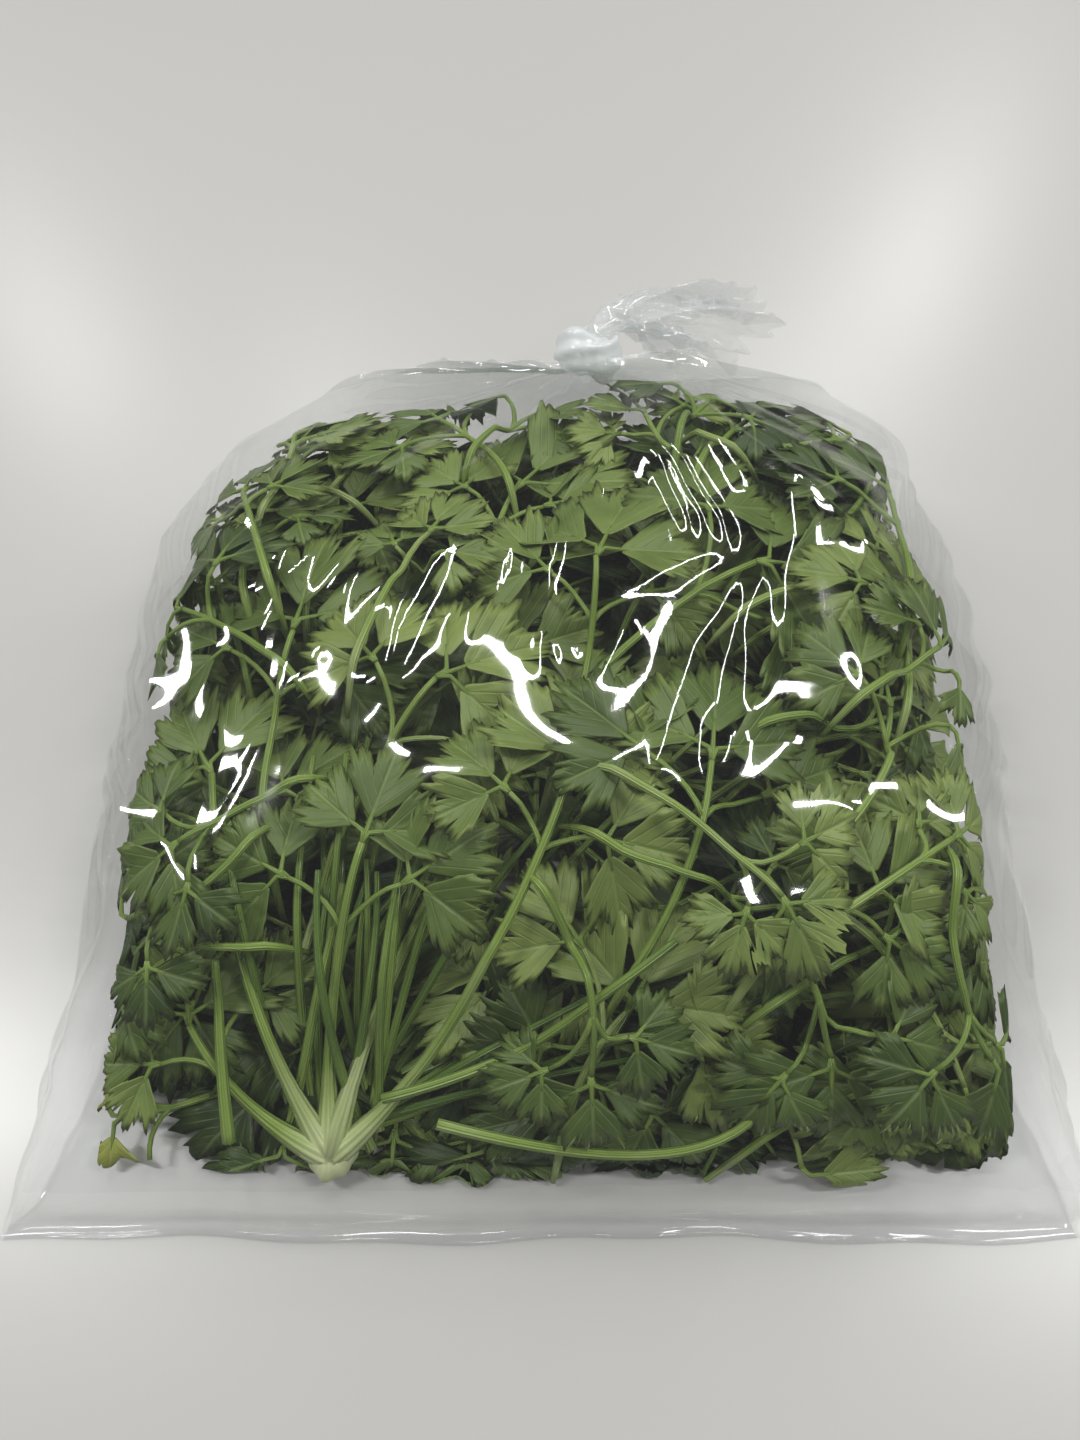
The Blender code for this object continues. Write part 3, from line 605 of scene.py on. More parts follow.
def bowed(foot: Sequence[float], tip: Sequence[float], bow: float, count: int) -> np.ndarray:
    """Gives points in plan from foot to tip, bowed to the left by about half of bow.

    Args:
        foot: Where the line starts, in millimetres.
        tip: Where it ends.
        bow: How far its control point stands aside.
        count: How many points it has.

    Returns:
        The points, one row each.
    """
    foot, tip = np.array(foot, float), np.array(tip, float)
    along = tip - foot
    left = np.array([-along[1], along[0]]) / np.linalg.norm(along)
    control = (foot + tip) / 2 + left * bow
    t = np.linspace(0, 1, count)[:, None]
    return (1 - t) ** 2 * foot + 2 * t * (1 - t) * control + t**2 * tip


def curved(points: Sequence[Sequence[float]], count: int) -> np.ndarray:
    """Gives points in plan along a curve with these control points.

    Args:
        points: Control points in millimetres.
        count: How many points the curve has.

    Returns:
        The points, one row each.
    """
    rows = np.array(points, float)
    t = np.linspace(0, 1, count)[:, None]
    last = len(rows) - 1
    return sum(
        math.comb(last, k) * (1 - t) ** (last - k) * t**k * rows[k] for k in range(last + 1)
    )


class Frond:
    """A stem that forks near its end into two side branches, with a leaf on each tip."""

    def __init__(
        self, name: str, foot: Sequence[float] | None, tip: Sequence[float], bow: float,
        end_size: float, side_size: float, turn: float, height: float, rng: random.Random,
    ) -> None:
        """Plans the frond's stem, branches and leaves as seen from above.

        Args:
            name: The frond's name.
            foot: Where its stem starts, or CROWN.
            tip: Where its end leaf starts, in millimetres.
            bow: How far the stem's control point stands aside.
            end_size: Size of the end leaf.
            side_size: Size of the side leaves.
            turn: How far the end leaf turns off the stem, in degrees.
            height: How high in the pile it should lie.
            rng: The source of its angles and slopes.
        """
        self.name = name
        self.on_crown = foot is CROWN
        self.height = height = height * HEIGHT_SHARE
        if self.on_crown:
            foot = CROWN_AT
        plan = bowed(foot, tip, bow, STEM_SAMPLES)
        length = float(np.linalg.norm(np.diff(plan, axis=0), axis=1).sum())
        thick = 2.0 if self.on_crown else 1.7
        self.stem = Stalk(plan, thick, 1.1)
        self.node = int(STEM_SAMPLES * (1 - (1 - NODE_SHARE) * min(1.0, 75.0 / length)))
        along = plan[-1] - plan[-4]
        heading = math.atan2(along[1], along[0])
        self.end_leaf = Leaf(
            self.stem.u[-1], self.stem.v[-1], heading + math.radians(turn), end_size, rng
        )
        at_node = plan[self.node + 1] - plan[self.node - 1]
        node_heading = math.atan2(at_node[1], at_node[0])
        self.branches: list[Stalk] = []
        self.side_leaves: list[Leaf] = []
        for side in (-1, 1):
            angle = node_heading + side * math.radians(BRANCH_ANGLE + rng.uniform(-8, 14))
            reach = side_size * rng.uniform(0.55, 0.95)
            end = plan[self.node] + reach * np.array([math.cos(angle), math.sin(angle)])
            branch = Stalk(bowed(plan[self.node], end, -side * 4, 14), 1.1, 0.9)
            leaf_heading = angle + side * math.radians(rng.uniform(-5, 30))
            leaf = Leaf(branch.u[-1], branch.v[-1], leaf_heading, side_size, rng)
            self.branches.append(branch)
            self.side_leaves.append(leaf)
        self.start_height = 0.12 if self.on_crown else max(0.08, height - rng.uniform(0.25, 0.5))

    @property
    def leaves(self) -> list[Leaf]:
        """Gives the frond's three leaves."""
        return [self.end_leaf, *self.side_leaves]

    @property
    def stalks(self) -> list[Stalk]:
        """Gives the frond's stem and branches."""
        return [self.stem, *self.branches]

    def lay(self, heights: HeightMap) -> None:
        """Settles the frond on the pile, then adds it to the height map.

        Args:
            heights: The pile so far.
        """
        along = np.linspace(0, 1, STEM_SAMPLES)
        target = self.start_height + (self.height - self.start_height) * smooth_step(along * 1.1)
        self.stem.settle(heights, target, self.on_crown)
        for branch, leaf in zip(self.branches, self.side_leaves):
            branch.settle(heights, np.full(len(branch.w), self.height - 0.03))
            leaf.settle(heights, self.height - 0.04, branch.w[-1])
            branch.lift_end(leaf.w, 0.2)
            short = branch.w[0] - self.stem.w[self.node]
            near_node = np.exp(-(((np.arange(STEM_SAMPLES) - self.node) / 7.0) ** 2))
            self.stem.w += max(0.0, short) * near_node
        self.end_leaf.settle(heights, self.height, self.stem.w[-1])
        self.stem.lift_end(self.end_leaf.w, 0.6)
        for branch in self.branches:
            fall = 1 - smooth_step(np.linspace(0, 1.3, len(branch.w)))
            branch.w += (self.stem.w[self.node] - branch.w[0]) * fall
        self.cover(heights)

    def cover(self, heights: HeightMap) -> None:
        """Adds the frond to the height map.

        Args:
            heights: The pile so far.
        """
        for stalk in self.stalks:
            stalk.cover(heights)
        for leaf in self.leaves:
            leaf.cover(heights)


def plan_fronds(rng: random.Random) -> list[Frond]:
    """Plans all solid fronds from the lowest to the highest.

    Args:
        rng: The source of their bows, sizes and slopes.

    Returns:
        The fronds, not yet laid.
    """
    fronds = []
    for k in range(HIDDEN_FRONDS):
        share = (k + 0.5) / HIDDEN_FRONDS
        angle = math.radians(-150 + 360 * (k * 0.382 % 1.0))
        reach = 0.62 * math.sqrt(0.25 + 0.75 * (k * 0.618 % 1.0))
        tip = (100 * reach * math.cos(angle) * 1.25, -14 + 112 * reach * math.sin(angle) * 1.2)
        inward = rng.uniform(55, 85)
        away = math.atan2(tip[1] + 14, tip[0]) + rng.uniform(-0.7, 0.7)
        foot = (tip[0] - inward * math.cos(away), tip[1] - inward * math.sin(away))
        fronds.append(
            Frond(
                f"hidden_{k + 1:02d}", foot, tip, rng.uniform(-14, 14), rng.uniform(28, 38),
                rng.uniform(20, 28), rng.uniform(-20, 20), 0.06 + 0.62 * share, rng,
            )
        )
    for name, row in SEEN_FRONDS.items():
        fronds.append(Frond(name, *row, rng))
    return sorted(fronds, key=lambda frond: frond.height)


# Finishes


def linear(colour: str) -> tuple[float, float, float, float]:
    """Turns an sRGB hex colour into linear light.

    Args:
        colour: Six hex digits after a #.

    Returns:
        Red, green, blue and an alpha of 1.
    """
    parts = [int(colour[i : i + 2], 16) / 255 for i in (1, 3, 5)]
    light = [c / 12.92 if c <= 0.04045 else ((c + 0.055) / 1.055) ** 2.4 for c in parts]
    return (*light, 1.0)


def add_node(tree: bpy.types.NodeTree, kind: str, settings: dict, links: dict) -> bpy.types.Node:
    """Adds a node with its settings and links.

    Args:
        tree: The node tree.
        kind: The node's type.
        settings: Attribute or input values by name; an input may be named by its number.
        links: Output sockets by the name or number of the input they go to.

    Returns:
        The new node.
    """
    node = tree.nodes.new(kind)
    for name, value in settings.items():
        if isinstance(name, str) and hasattr(node, name):
            setattr(node, name, value)
        else:
            node.inputs[name].default_value = value
    for name, socket in links.items():
        tree.links.new(socket, node.inputs[name])
    return node


def ramp_stops(node: bpy.types.Node, stops: Sequence[tuple[float, str]]) -> None:
    """Gives a colour ramp its stops, as (position, hex colour).

    Args:
        node: The colour ramp.
        stops: Position from 0 to 1 and colour of each stop.
    """
    elements = node.color_ramp.elements
    while len(elements) < len(stops):
        elements.new(0.5)
    for element, (position, colour) in zip(elements, stops):
        element.position = position
        element.color = linear(colour)


@dataclass(frozen=True)
class LeafFinish:
    """Living leaf blade: a waxy skin, so a soft sheen, with paler sunk veins and underside.

    Flat-leaf parsley varies from blade to blade, from dark old leaves to light young ones. The tone
    also carries painted shade: fronds that lie deep in the pile are given darker leaves.
    """

    name: str = "parsley_leaf_blade"
    dark: str = "#2d3e18"
    middle: str = "#53662d"
    light: str = "#7e8e4a"
    vein: str = "#9aab6c"
    roughness: float = 0.46
    vein_spacing_mm: float = 4.0

    def build(self) -> bpy.types.Material:
        """Builds the blade's material from its own attribute: across, along and tone.

        Returns:
            The material.
        """
        made = bpy.data.materials.new(self.name)
        made.use_nodes = True
        tree = made.node_tree
        tree.nodes.clear()
        blade = add_node(tree, "ShaderNodeAttribute", {"attribute_name": "blade"}, {})
        parts = add_node(tree, "ShaderNodeSeparateXYZ", {}, {0: blade.outputs["Vector"]})
        across, along, tone = parts.outputs
        place_of = add_node(tree, "ShaderNodeTexCoord", {}, {}).outputs["Object"]
        patch = add_node(
            tree, "ShaderNodeTexNoise", {"Scale": 90.0, "Detail": 3.0}, {"Vector": place_of}
        )
        shift = add_node(
            tree, "ShaderNodeMath", {"operation": "MULTIPLY_ADD", 1: 0.5, 2: -0.25},
            {0: patch.outputs["Fac"]},
        )
        total = add_node(
            tree, "ShaderNodeMath", {"operation": "ADD"}, {0: tone, 1: shift.outputs[0]}
        )
        base = add_node(tree, "ShaderNodeValToRGB", {}, {0: total.outputs[0]})
        ramp_stops(base, ((0.0, self.dark), (0.5, self.middle), (1.0, self.light)))
        # Side veins leave the rib at a slant: lines of constant along - 1.3 * across.
        slant = add_node(
            tree, "ShaderNodeMath", {"operation": "MULTIPLY_ADD", 1: -1.3},
            {0: across, 2: along},
        )
        wave = add_node(
            tree, "ShaderNodeMath", {"operation": "PINGPONG", 1: self.vein_spacing_mm / 2},
            {0: slant.outputs[0]},
        )
        near_side = add_node(
            tree, "ShaderNodeMapRange", {1: 0.0, 2: 0.45, 3: 0.6, 4: 0.0}, {0: wave.outputs[0]}
        )
        near_rib = add_node(
            tree, "ShaderNodeMapRange", {1: 0.15, 2: 0.75, 3: 1.0, 4: 0.0}, {0: across}
        )
        veins = add_node(
            tree, "ShaderNodeMath", {"operation": "MAXIMUM"},
            {0: near_side.outputs[0], 1: near_rib.outputs[0]},
        )
        vein_share = add_node(
            tree, "ShaderNodeMath", {"operation": "MULTIPLY", 1: 0.22}, {0: veins.outputs[0]}
        )
        veined = add_node(
            tree, "ShaderNodeMix", {"data_type": "RGBA", 7: linear(self.vein)},
            {0: vein_share.outputs[0], 6: base.outputs[0]},
        )
        fine = add_node(
            tree, "ShaderNodeTexNoise", {"Scale": 700.0, "Detail": 2.0}, {"Vector": place_of}
        )
        relief = add_node(
            tree, "ShaderNodeMath", {"operation": "MULTIPLY_ADD", 1: 0.35},
            {0: fine.outputs["Fac"], 2: veins.outputs[0]},
        )
        bump = add_node(
            tree, "ShaderNodeBump", {"Strength": 0.55, "Distance": 0.0004, "invert": True},
            {"Height": relief.outputs[0]},
        )
        shader = add_node(
            tree, "ShaderNodeBsdfPrincipled",
            {"Roughness": self.roughness, "IOR": 1.42},
            {"Base Color": veined.outputs[2], "Normal": bump.outputs[0]},
        )
        add_node(tree, "ShaderNodeOutputMaterial", {}, {"Surface": shader.outputs[0]})
        return made


@dataclass(frozen=True)
class StemFinish:
    """Living stem: smooth, juicy and ridged, so glossier than the leaf and paler to its foot."""

    name: str = "parsley_stem"
    pale: str = "#c3c99c"
    green: str = "#839a4a"
    deep: str = "#557030"
    roughness: float = 0.33

    def build(self) -> bpy.types.Material:
        """Builds the stem's material; the attribute gives the angle round it, height and tone.

        Returns:
            The material.
        """
        made = bpy.data.materials.new(self.name)
        made.use_nodes = True
        tree = made.node_tree
        tree.nodes.clear()
        stem = add_node(tree, "ShaderNodeAttribute", {"attribute_name": "blade"}, {})
        parts = add_node(tree, "ShaderNodeSeparateXYZ", {}, {0: stem.outputs["Vector"]})
        place_of = add_node(tree, "ShaderNodeTexCoord", {}, {}).outputs["Object"]
        patch = add_node(
            tree, "ShaderNodeTexNoise", {"Scale": 60.0, "Detail": 2.0}, {"Vector": place_of}
        )
        shift = add_node(
            tree, "ShaderNodeMath", {"operation": "MULTIPLY_ADD", 1: 0.4, 2: -0.2},
            {0: patch.outputs["Fac"]},
        )
        total = add_node(
            tree, "ShaderNodeMath", {"operation": "ADD"},
            {0: parts.outputs[2], 1: shift.outputs[0]},
        )
        base = add_node(tree, "ShaderNodeValToRGB", {}, {0: total.outputs[0]})
        ramp_stops(base, ((0.0, self.deep), (0.55, self.green), (1.0, self.pale)))
        ridges = add_node(
            tree, "ShaderNodeMath", {"operation": "SINE"}, {0: parts.outputs[0]}
        )
        bump = add_node(
            tree, "ShaderNodeBump", {"Strength": 0.5, "Distance": 0.0004},
            {"Height": ridges.outputs[0]},
        )
        shader = add_node(
            tree, "ShaderNodeBsdfPrincipled", {"Roughness": self.roughness, "IOR": 1.42},
            {"Base Color": base.outputs[0], "Normal": bump.outputs[0]},
        )
        add_node(tree, "ShaderNodeOutputMaterial", {}, {"Surface": shader.outputs[0]})
        return made


@dataclass(frozen=True)
class FilmFinish:
    """Blown polyethylene film: clear, with a sharp gloss and a faint milky haze.

    The gloss is a little over a single skin's because the film reflects from both its faces.
    """

    name: str
    haze: float
    roughness: float = 0.055
    gain: float = 1.0
    haze_colour: str = "#e4e8e8"
    crumple_scale: float = 70.0

    def build(self) -> bpy.types.Material:
        """Builds the film: see-through, glossy by the angle of view, and a share of haze.

        Returns:
            The material.
        """
        made = bpy.data.materials.new(self.name)
        made.use_nodes = True
        tree = made.node_tree
        tree.nodes.clear()
        place_of = add_node(tree, "ShaderNodeTexCoord", {}, {}).outputs["Object"]
        crumple = add_node(
            tree, "ShaderNodeTexNoise", {"Scale": self.crumple_scale, "Detail": 2.0},
            {"Vector": place_of},
        )
        bump = add_node(
            tree, "ShaderNodeBump", {"Strength": 0.1, "Distance": 0.0005},
            {"Height": crumple.outputs["Fac"]},
        )
        facing = add_node(
            tree, "ShaderNodeLayerWeight", {"Blend": 0.5}, {"Normal": bump.outputs[0]}
        )
        grazing = add_node(
            tree, "ShaderNodeMath", {"operation": "POWER", 1: 5.0}, {0: facing.outputs["Facing"]}
        )
        shine = add_node(
            tree, "ShaderNodeMath",
            {"operation": "MULTIPLY_ADD", 1: 0.4, 2: 0.036 * self.gain, "use_clamp": True},
            {0: grazing.outputs[0]},
        )
        blade = add_node(tree, "ShaderNodeAttribute", {"attribute_name": "blade"}, {})
        parts = add_node(tree, "ShaderNodeSeparateXYZ", {}, {0: blade.outputs["Vector"]})
        haze = add_node(
            tree, "ShaderNodeMath", {"operation": "MULTIPLY_ADD", 1: 0.4, 2: self.haze},
            {0: parts.outputs[2]},
        )
        clear = add_node(tree, "ShaderNodeBsdfTransparent", {"Color": (0.99, 0.992, 0.992, 1.0)}, {})
        milk = add_node(
            tree, "ShaderNodeBsdfDiffuse", {"Color": linear(self.haze_colour)},
            {"Normal": bump.outputs[0]},
        )
        body = add_node(
            tree, "ShaderNodeMixShader", {},
            {0: haze.outputs[0], 1: clear.outputs[0], 2: milk.outputs[0]},
        )
        gloss = add_node(
            tree, "ShaderNodeBsdfAnisotropic",
            {"Color": (1.0, 1.0, 1.0, 1.0), "Roughness": self.roughness},
            {"Normal": bump.outputs[0]},
        )
        film = add_node(
            tree, "ShaderNodeMixShader", {},
            {0: shine.outputs[0], 1: body.outputs[0], 2: gloss.outputs[0]},
        )
        add_node(tree, "ShaderNodeOutputMaterial", {}, {"Surface": film.outputs[0]})
        return made


@dataclass(frozen=True)
class TableFinish:
    """Laminate table top: pale grey with a satin lacquer."""

    name: str = "laminate_table"
    colour: str = "#b2b1ad"
    roughness: float = 0.29

    def build(self) -> bpy.types.Material:
        """Builds the table top's material.

        Returns:
            The material.
        """
        made = bpy.data.materials.new(self.name)
        made.use_nodes = True
        tree = made.node_tree
        tree.nodes.clear()
        place_of = add_node(tree, "ShaderNodeTexCoord", {}, {}).outputs["Object"]
        mottle = add_node(
            tree, "ShaderNodeTexNoise", {"Scale": 8.0, "Detail": 2.0}, {"Vector": place_of}
        )
        rough = add_node(
            tree, "ShaderNodeMapRange", {3: self.roughness - 0.03, 4: self.roughness + 0.03},
            {0: mottle.outputs["Fac"]},
        )
        shader = add_node(
            tree, "ShaderNodeBsdfPrincipled", {"Base Color": linear(self.colour)},
            {"Roughness": rough.outputs[0]},
        )
        add_node(tree, "ShaderNodeOutputMaterial", {}, {"Surface": shader.outputs[0]})
        return made


# Meshes from mapped grids


def mapped_grid(
    bm: bmesh.types.BMesh, across: int, along: int,
    shape: Callable[[np.ndarray, np.ndarray], tuple[np.ndarray, np.ndarray]],
    finish: int = 0,
) -> np.ndarray:
    """Adds a grid and bends it into a shape.

    Args:
        bm: The mesh to add to.
        across: Faces across, where the shape's first value runs from -1 to 1.
        along: Faces along, where its second value runs from 0 to 1.
        shape: Gives points in millimetres and the three values of the surface's attribute.
        finish: Number of the material slot.

    Returns:
        The new points, in millimetres.
    """
    values = bm.verts.layers.float_vector.get("blade") or bm.verts.layers.float_vector.new("blade")
    made = bmesh.ops.create_grid(bm, x_segments=across, y_segments=along, size=1.0)["verts"]
    spots = np.array([vert.co for vert in made])
    points, attribute = shape(spots[:, 0], (spots[:, 1] + 1) / 2)
    for vert, co, value in zip(made, (points * MM).tolist(), attribute.tolist()):
        vert.co = co
        vert[values] = value
    faces = {face for vert in made for face in vert.link_faces}
    for face in faces:
        face.smooth = True
        face.material_index = finish
    bmesh.ops.remove_doubles(bm, verts=made, dist=2e-7)
    return points


def flare(y: np.ndarray | float, z: np.ndarray | float) -> np.ndarray | float:
    """Gives how much wider than laid out the bag and the parsley lie, towards floor and seam.

    Args:
        y: Millimetres to the back.
        z: Millimetres over the table.

    Returns:
        What x is multiplied by.
    """
    front = smooth_step((FLARE_FRONT_Y - y) / FLARE_FRONT_LENGTH)
    low = 1 - FLARE_LOST_ABOVE * smooth_step(z / FLARE_HEIGHT)
    return 1 + (FLARE_ALL + FLARE_FRONT * front) * low


def append(bm: bmesh.types.BMesh, part: bmesh.types.BMesh) -> None:
    """Adds a small mesh to a larger one, and frees it.

    Args:
        bm: The mesh to add to.
        part: The mesh that is added.
    """
    mesh = bpy.data.meshes.new("part")
    part.to_mesh(mesh)
    part.free()
    bm.from_mesh(mesh)
    bpy.data.meshes.remove(mesh)


def finished(
    name: str, bm: bmesh.types.BMesh, materials: Sequence[bpy.types.Material]
) -> bpy.types.Object:
    """Makes an object of a bmesh, dresses it and lets it ride on the root body.

    Args:
        name: The object's name.
        bm: The mesh, which is freed.
        materials: Materials in the order of the faces' slots.

    Returns:
        The object.
    """
    bmesh.ops.recalc_face_normals(bm, faces=bm.faces)
    mesh = bpy.data.meshes.new(name)
    bm.to_mesh(mesh)
    bm.free()
    spots = np.empty(3 * len(mesh.vertices))
    mesh.vertices.foreach_get("co", spots)
    spots = spots.reshape(-1, 3)
    spots[:, 0] *= flare(spots[:, 1] / MM, spots[:, 2] / MM)
    mesh.vertices.foreach_set("co", spots.ravel())
    mesh.update()
    for material in materials:
        mesh.materials.append(material)
    made = bpy.data.objects.new(name, mesh)
    bpy.context.scene.collection.objects.link(made)
    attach(made, "root")
    log.info("%s: %d faces", name, len(mesh.polygons))
    return made


class Detail(Enum):
    """How fine a frond is: faces round a leaflet, of them behind its foot, rings, and round a stem.

    The faces before its foot are a whole number for each point of half the outline.
    """

    FINE = (62, 6, 4, 10)
    PLAIN = (32, 4, 3, 6)
    ROUGH = (32, 4, 2, 5)


@dataclass
class Foliage:
    """Draws leaves and stems as closed, thin surfaces with lobes, teeth, ribs and folds.

    The outline and the edge behind a leaflet's foot are angles from its rib, in degrees, and shares
    of its length. Tilts to wings are limits of its slopes and bends, drawn anew for each leaflet.
    Thickness, radii, sheath and dive are in millimetres.
    """

    rng: random.Random
    thickness: float = 0.35
    leaflet_foot: float = 0.22
    outline: tuple[tuple[float, float], ...] = (
        (0, 1.0), (4.5, 0.89), (8.5, 0.94), (12, 0.81), (15.5, 0.82), (18.5, 0.56), (21, 0.78),
        (25, 0.77), (30, 0.96), (34.5, 0.82), (39, 0.88), (43.5, 0.71), (48.5, 0.73), (53, 0.54),
        (60, 0.30),
    )
    behind: tuple[tuple[float, float], ...] = ((60, 0.30), (76, 0.12), (180, 0.06))
    lobe_change: float = 0.07
    tooth_round: float = 0.035
    tilts: tuple[float, float] = (-0.14, 0.22)
    rolls: tuple[float, float] = (-0.25, 0.25)
    curls: tuple[float, float] = (-0.08, 0.28)
    ripples: tuple[float, float] = (0.02, 0.05)
    folds: tuple[float, float] = (0.10, 0.28)
    wings: tuple[float, float] = (-0.32, 0.18)
    underside_tone: float = 0.28
    film_room: float = 2.0
    leaflet_stalk: tuple[float, ...] = (0.75, 0.7, 0.6, 0.5, 0.25)
    sheath_length: float = 17.0
    crown_foot_tone: float = 0.82
    crown_slim: float = 0.86
    crown_sheath: float = 1.9
    loose_dive: float = 16.0
    loose_slim: float = 0.72
    drawn: list[np.ndarray] = field(default_factory=list)

    @staticmethod
    def between(limits: tuple[float, float], share: float) -> float:
        """Gives the value at a share of the way between two limits."""
        return limits[0] + (limits[1] - limits[0]) * share

    def edge(self, x: np.ndarray, front: float, turn: np.ndarray) -> tuple[np.ndarray, np.ndarray]:
        """Gives a leaflet's edge: teeth and lobes before its foot, a small round behind it.

        Args:
            x: Place round the edge, from -1 to 1 with 0 at the tip.
            front: Where on it the part before the foot ends.
            turn: Random values that make this leaflet's lobes its own.

        Returns:
            Angles from the leaflet's rib, in degrees, and shares of its length.
        """
        knots, index = np.array(self.outline), np.arange(len(self.outline))
        step = np.minimum(np.abs(x) / front, 1) * index[-1]
        local = np.interp(step, index, knots[:, 0])
        share = np.interp(step, index, knots[:, 1])
        side = np.where(x < 0, 1.0, 2.3)
        lobes = np.sin(1.9 * np.round(step) * side + 6 * turn[0] * side)
        share = share * (1 + self.lobe_change * lobes)
        share = share * (1 + self.tooth_round * np.sin(np.pi * (step % 1.0)))
        beyond = np.maximum(np.abs(x) - front, 0) / (1 - front)
        back = np.array(self.behind)
        local = np.where(beyond > 0, back[0, 0] + beyond * (180 - back[0, 0]), local)
        share = np.where(beyond > 0, np.interp(local, back[:, 0], back[:, 1]), share)
        return -np.sign(x) * local, share

    def add_leaf(self, bm: bmesh.types.BMesh, leaf: Leaf, tone: float, detail: Detail) -> None:
        """Adds a leaf of three leaflets on short stalks.

        Args:
            bm: The mesh to add to.
            leaf: The leaf in the pile.
            tone: 0 for a dark leaf to 1 for a light one.
            detail: How fine it is.
        """
        for number in (-1, 0, 1):
            if not leaf.has_room(number * math.radians(SIDE_TURN)):
                continue
            self.add_leaflet(bm, leaf, number, tone + self.rng.uniform(-0.06, 0.06), detail)

    def add_leaflet(
        self, bm: bmesh.types.BMesh, leaf: Leaf, number: int, tone: float, detail: Detail
    ) -> None:
        """Adds a leaflet as a closed blade whose two faces meet at its edge, and its stalk.

        Args:
            bm: The mesh to add to.
            leaf: The leaf in the pile.
            number: -1 for the right leaflet, 0 for the middle one, 1 for the left one.
            tone: 0 for a dark leaflet to 1 for a light one.
            detail: How fine it is.
        """
        columns, behind, rings, _ = detail.value
        turn = np.array([self.rng.random() for _ in range(6)])
        tilt, roll = self.between(self.tilts, turn[2]), self.between(self.rolls, turn[3])
        curl, ripple = self.between(self.curls, turn[4]), self.between(self.ripples, turn[5])
        fold, wing = self.between(self.folds, turn[1]), self.between(self.wings, turn[5])
        axis = number * math.radians(SIDE_TURN)
        length = (0.98 if number == 0 else 0.91) - self.leaflet_foot
        front = 1 - behind / columns

        def shape(x: np.ndarray, y: np.ndarray) -> tuple[np.ndarray, np.ndarray]:
            """Folds the grid into the leaflet's upper face and underside."""
            local, share_out = self.edge(x, front, turn)
            ring = 1 - np.abs(2 * y - 1)
            upper = np.where(y < 0.4999, 1.0, -1.0)
            reach = ring * share_out * length
            bent = np.radians(local)
            along, across = reach * np.cos(bent), reach * np.sin(bent)
            spot = self.leaflet_foot + along + 1j * across
            angle, share = axis + np.angle(spot), np.abs(spot)
            wave = np.sin(bent * 9 + 6 * turn[0]) + 0.5 * np.sin(bent * 17 + 9 * turn[1])
            lift = tilt * along + roll * across + fold * np.abs(across) - curl * reach**2
            lift = lift + wing * np.minimum(np.abs(bent), 1.2) ** 2 * reach
            lift = leaf.size * (lift + ripple * wave * (reach / length) ** 2 * length)
            lift += upper * self.thickness / 2 * (1 - ring**8)
            points = place(*self.under_film(*leaf.uvw(angle, share, lift)))
            shade = tone + np.where(upper > 0, 0.0, self.underside_tone)
            values = np.stack([np.abs(across) * leaf.size, along * leaf.size, shade], axis=1)
            return points, values

        self.drawn.append(mapped_grid(bm, columns, 2 * rings, shape, finish=0))
        shares = np.array([-RIB_POINT, 0.0, 0.5 * self.leaflet_foot, self.leaflet_foot, 0.30])
        bend = np.where(shares < 0, np.pi, axis)
        line = place(*leaf.uvw(bend, np.abs(shares)))
        self.add_tube(bm, line, np.array(self.leaflet_stalk), 0.5, 0.4, Detail.PLAIN)

    def under_film(
        self, u: np.ndarray, v: np.ndarray, w: np.ndarray
    ) -> tuple[np.ndarray, np.ndarray, np.ndarray]:
        """Keeps points of the pile no higher than the film can rise."""
        top, bottom = top_and_bottom(u, v)
        return u, v, np.minimum(w, 1 + (RISE - self.film_room) / (top - bottom))

    def add_stalk(
        self, bm: bmesh.types.BMesh, stalk: Stalk, tone_foot: float, tone_tip: float,
        detail: Detail, dive: float = 0.0, slim: float = 1.0, sheath: float = 0.0,
    ) -> None:
        """Adds a stem as a closed, ridged tube.

        Args:
            bm: The mesh to add to.
            stalk: The stem in the pile.
            tone_foot: 0 for deep green to 1 for pale, at the foot.
            tone_tip: The same at the tip.
            detail: How fine it is.
            dive: How far the stem goes on behind its foot, down between the leaves, in mm.
            slim: What its radii are multiplied by.
            sheath: How much thicker its foot is, in mm.
        """
        line = stalk.points()
        from_foot = np.linalg.norm(line - line[0], axis=1)
        radius = stalk.radius * slim + sheath * np.exp(-((from_foot / self.sheath_length) ** 2))
        if dive > 0:
            back = line[0] - line[3]
            back = back / np.linalg.norm(back)
            share = np.linspace(1, 0, 9)[:-1, None]
            fall = np.array([0.0, 0.0, -1.0]) * dive * 0.9 * share**1.6
            behind = line[0] + back * dive * 0.8 * share + fall
            behind[:, 2] = np.maximum(behind[:, 2], FLOOR + 1.5)
            line = np.concatenate([behind, line])
            radius = np.concatenate([np.linspace(0.6, 1.0, 8) * radius[0], radius])
        self.add_tube(bm, line, radius, tone_foot, tone_tip, detail)

    def add_tube(
        self, bm: bmesh.types.BMesh, line: np.ndarray, radii: np.ndarray,
        tone_foot: float, tone_tip: float, detail: Detail, finish: int = 1,
    ) -> None:
        """Adds a closed, ridged tube along a line of points in millimetres.

        Args:
            bm: The mesh to add to.
            line: Points of its centre line.
            radii: Its radius at each point.
            tone_foot: 0 for deep green to 1 for pale, at the foot.
            tone_tip: The same at the tip.
            detail: How fine it is.
            finish: Number of the material slot.
        """
        around = detail.value[3]
        rows = max(5, min(26, len(line) // 2))
        index = np.arange(len(line))

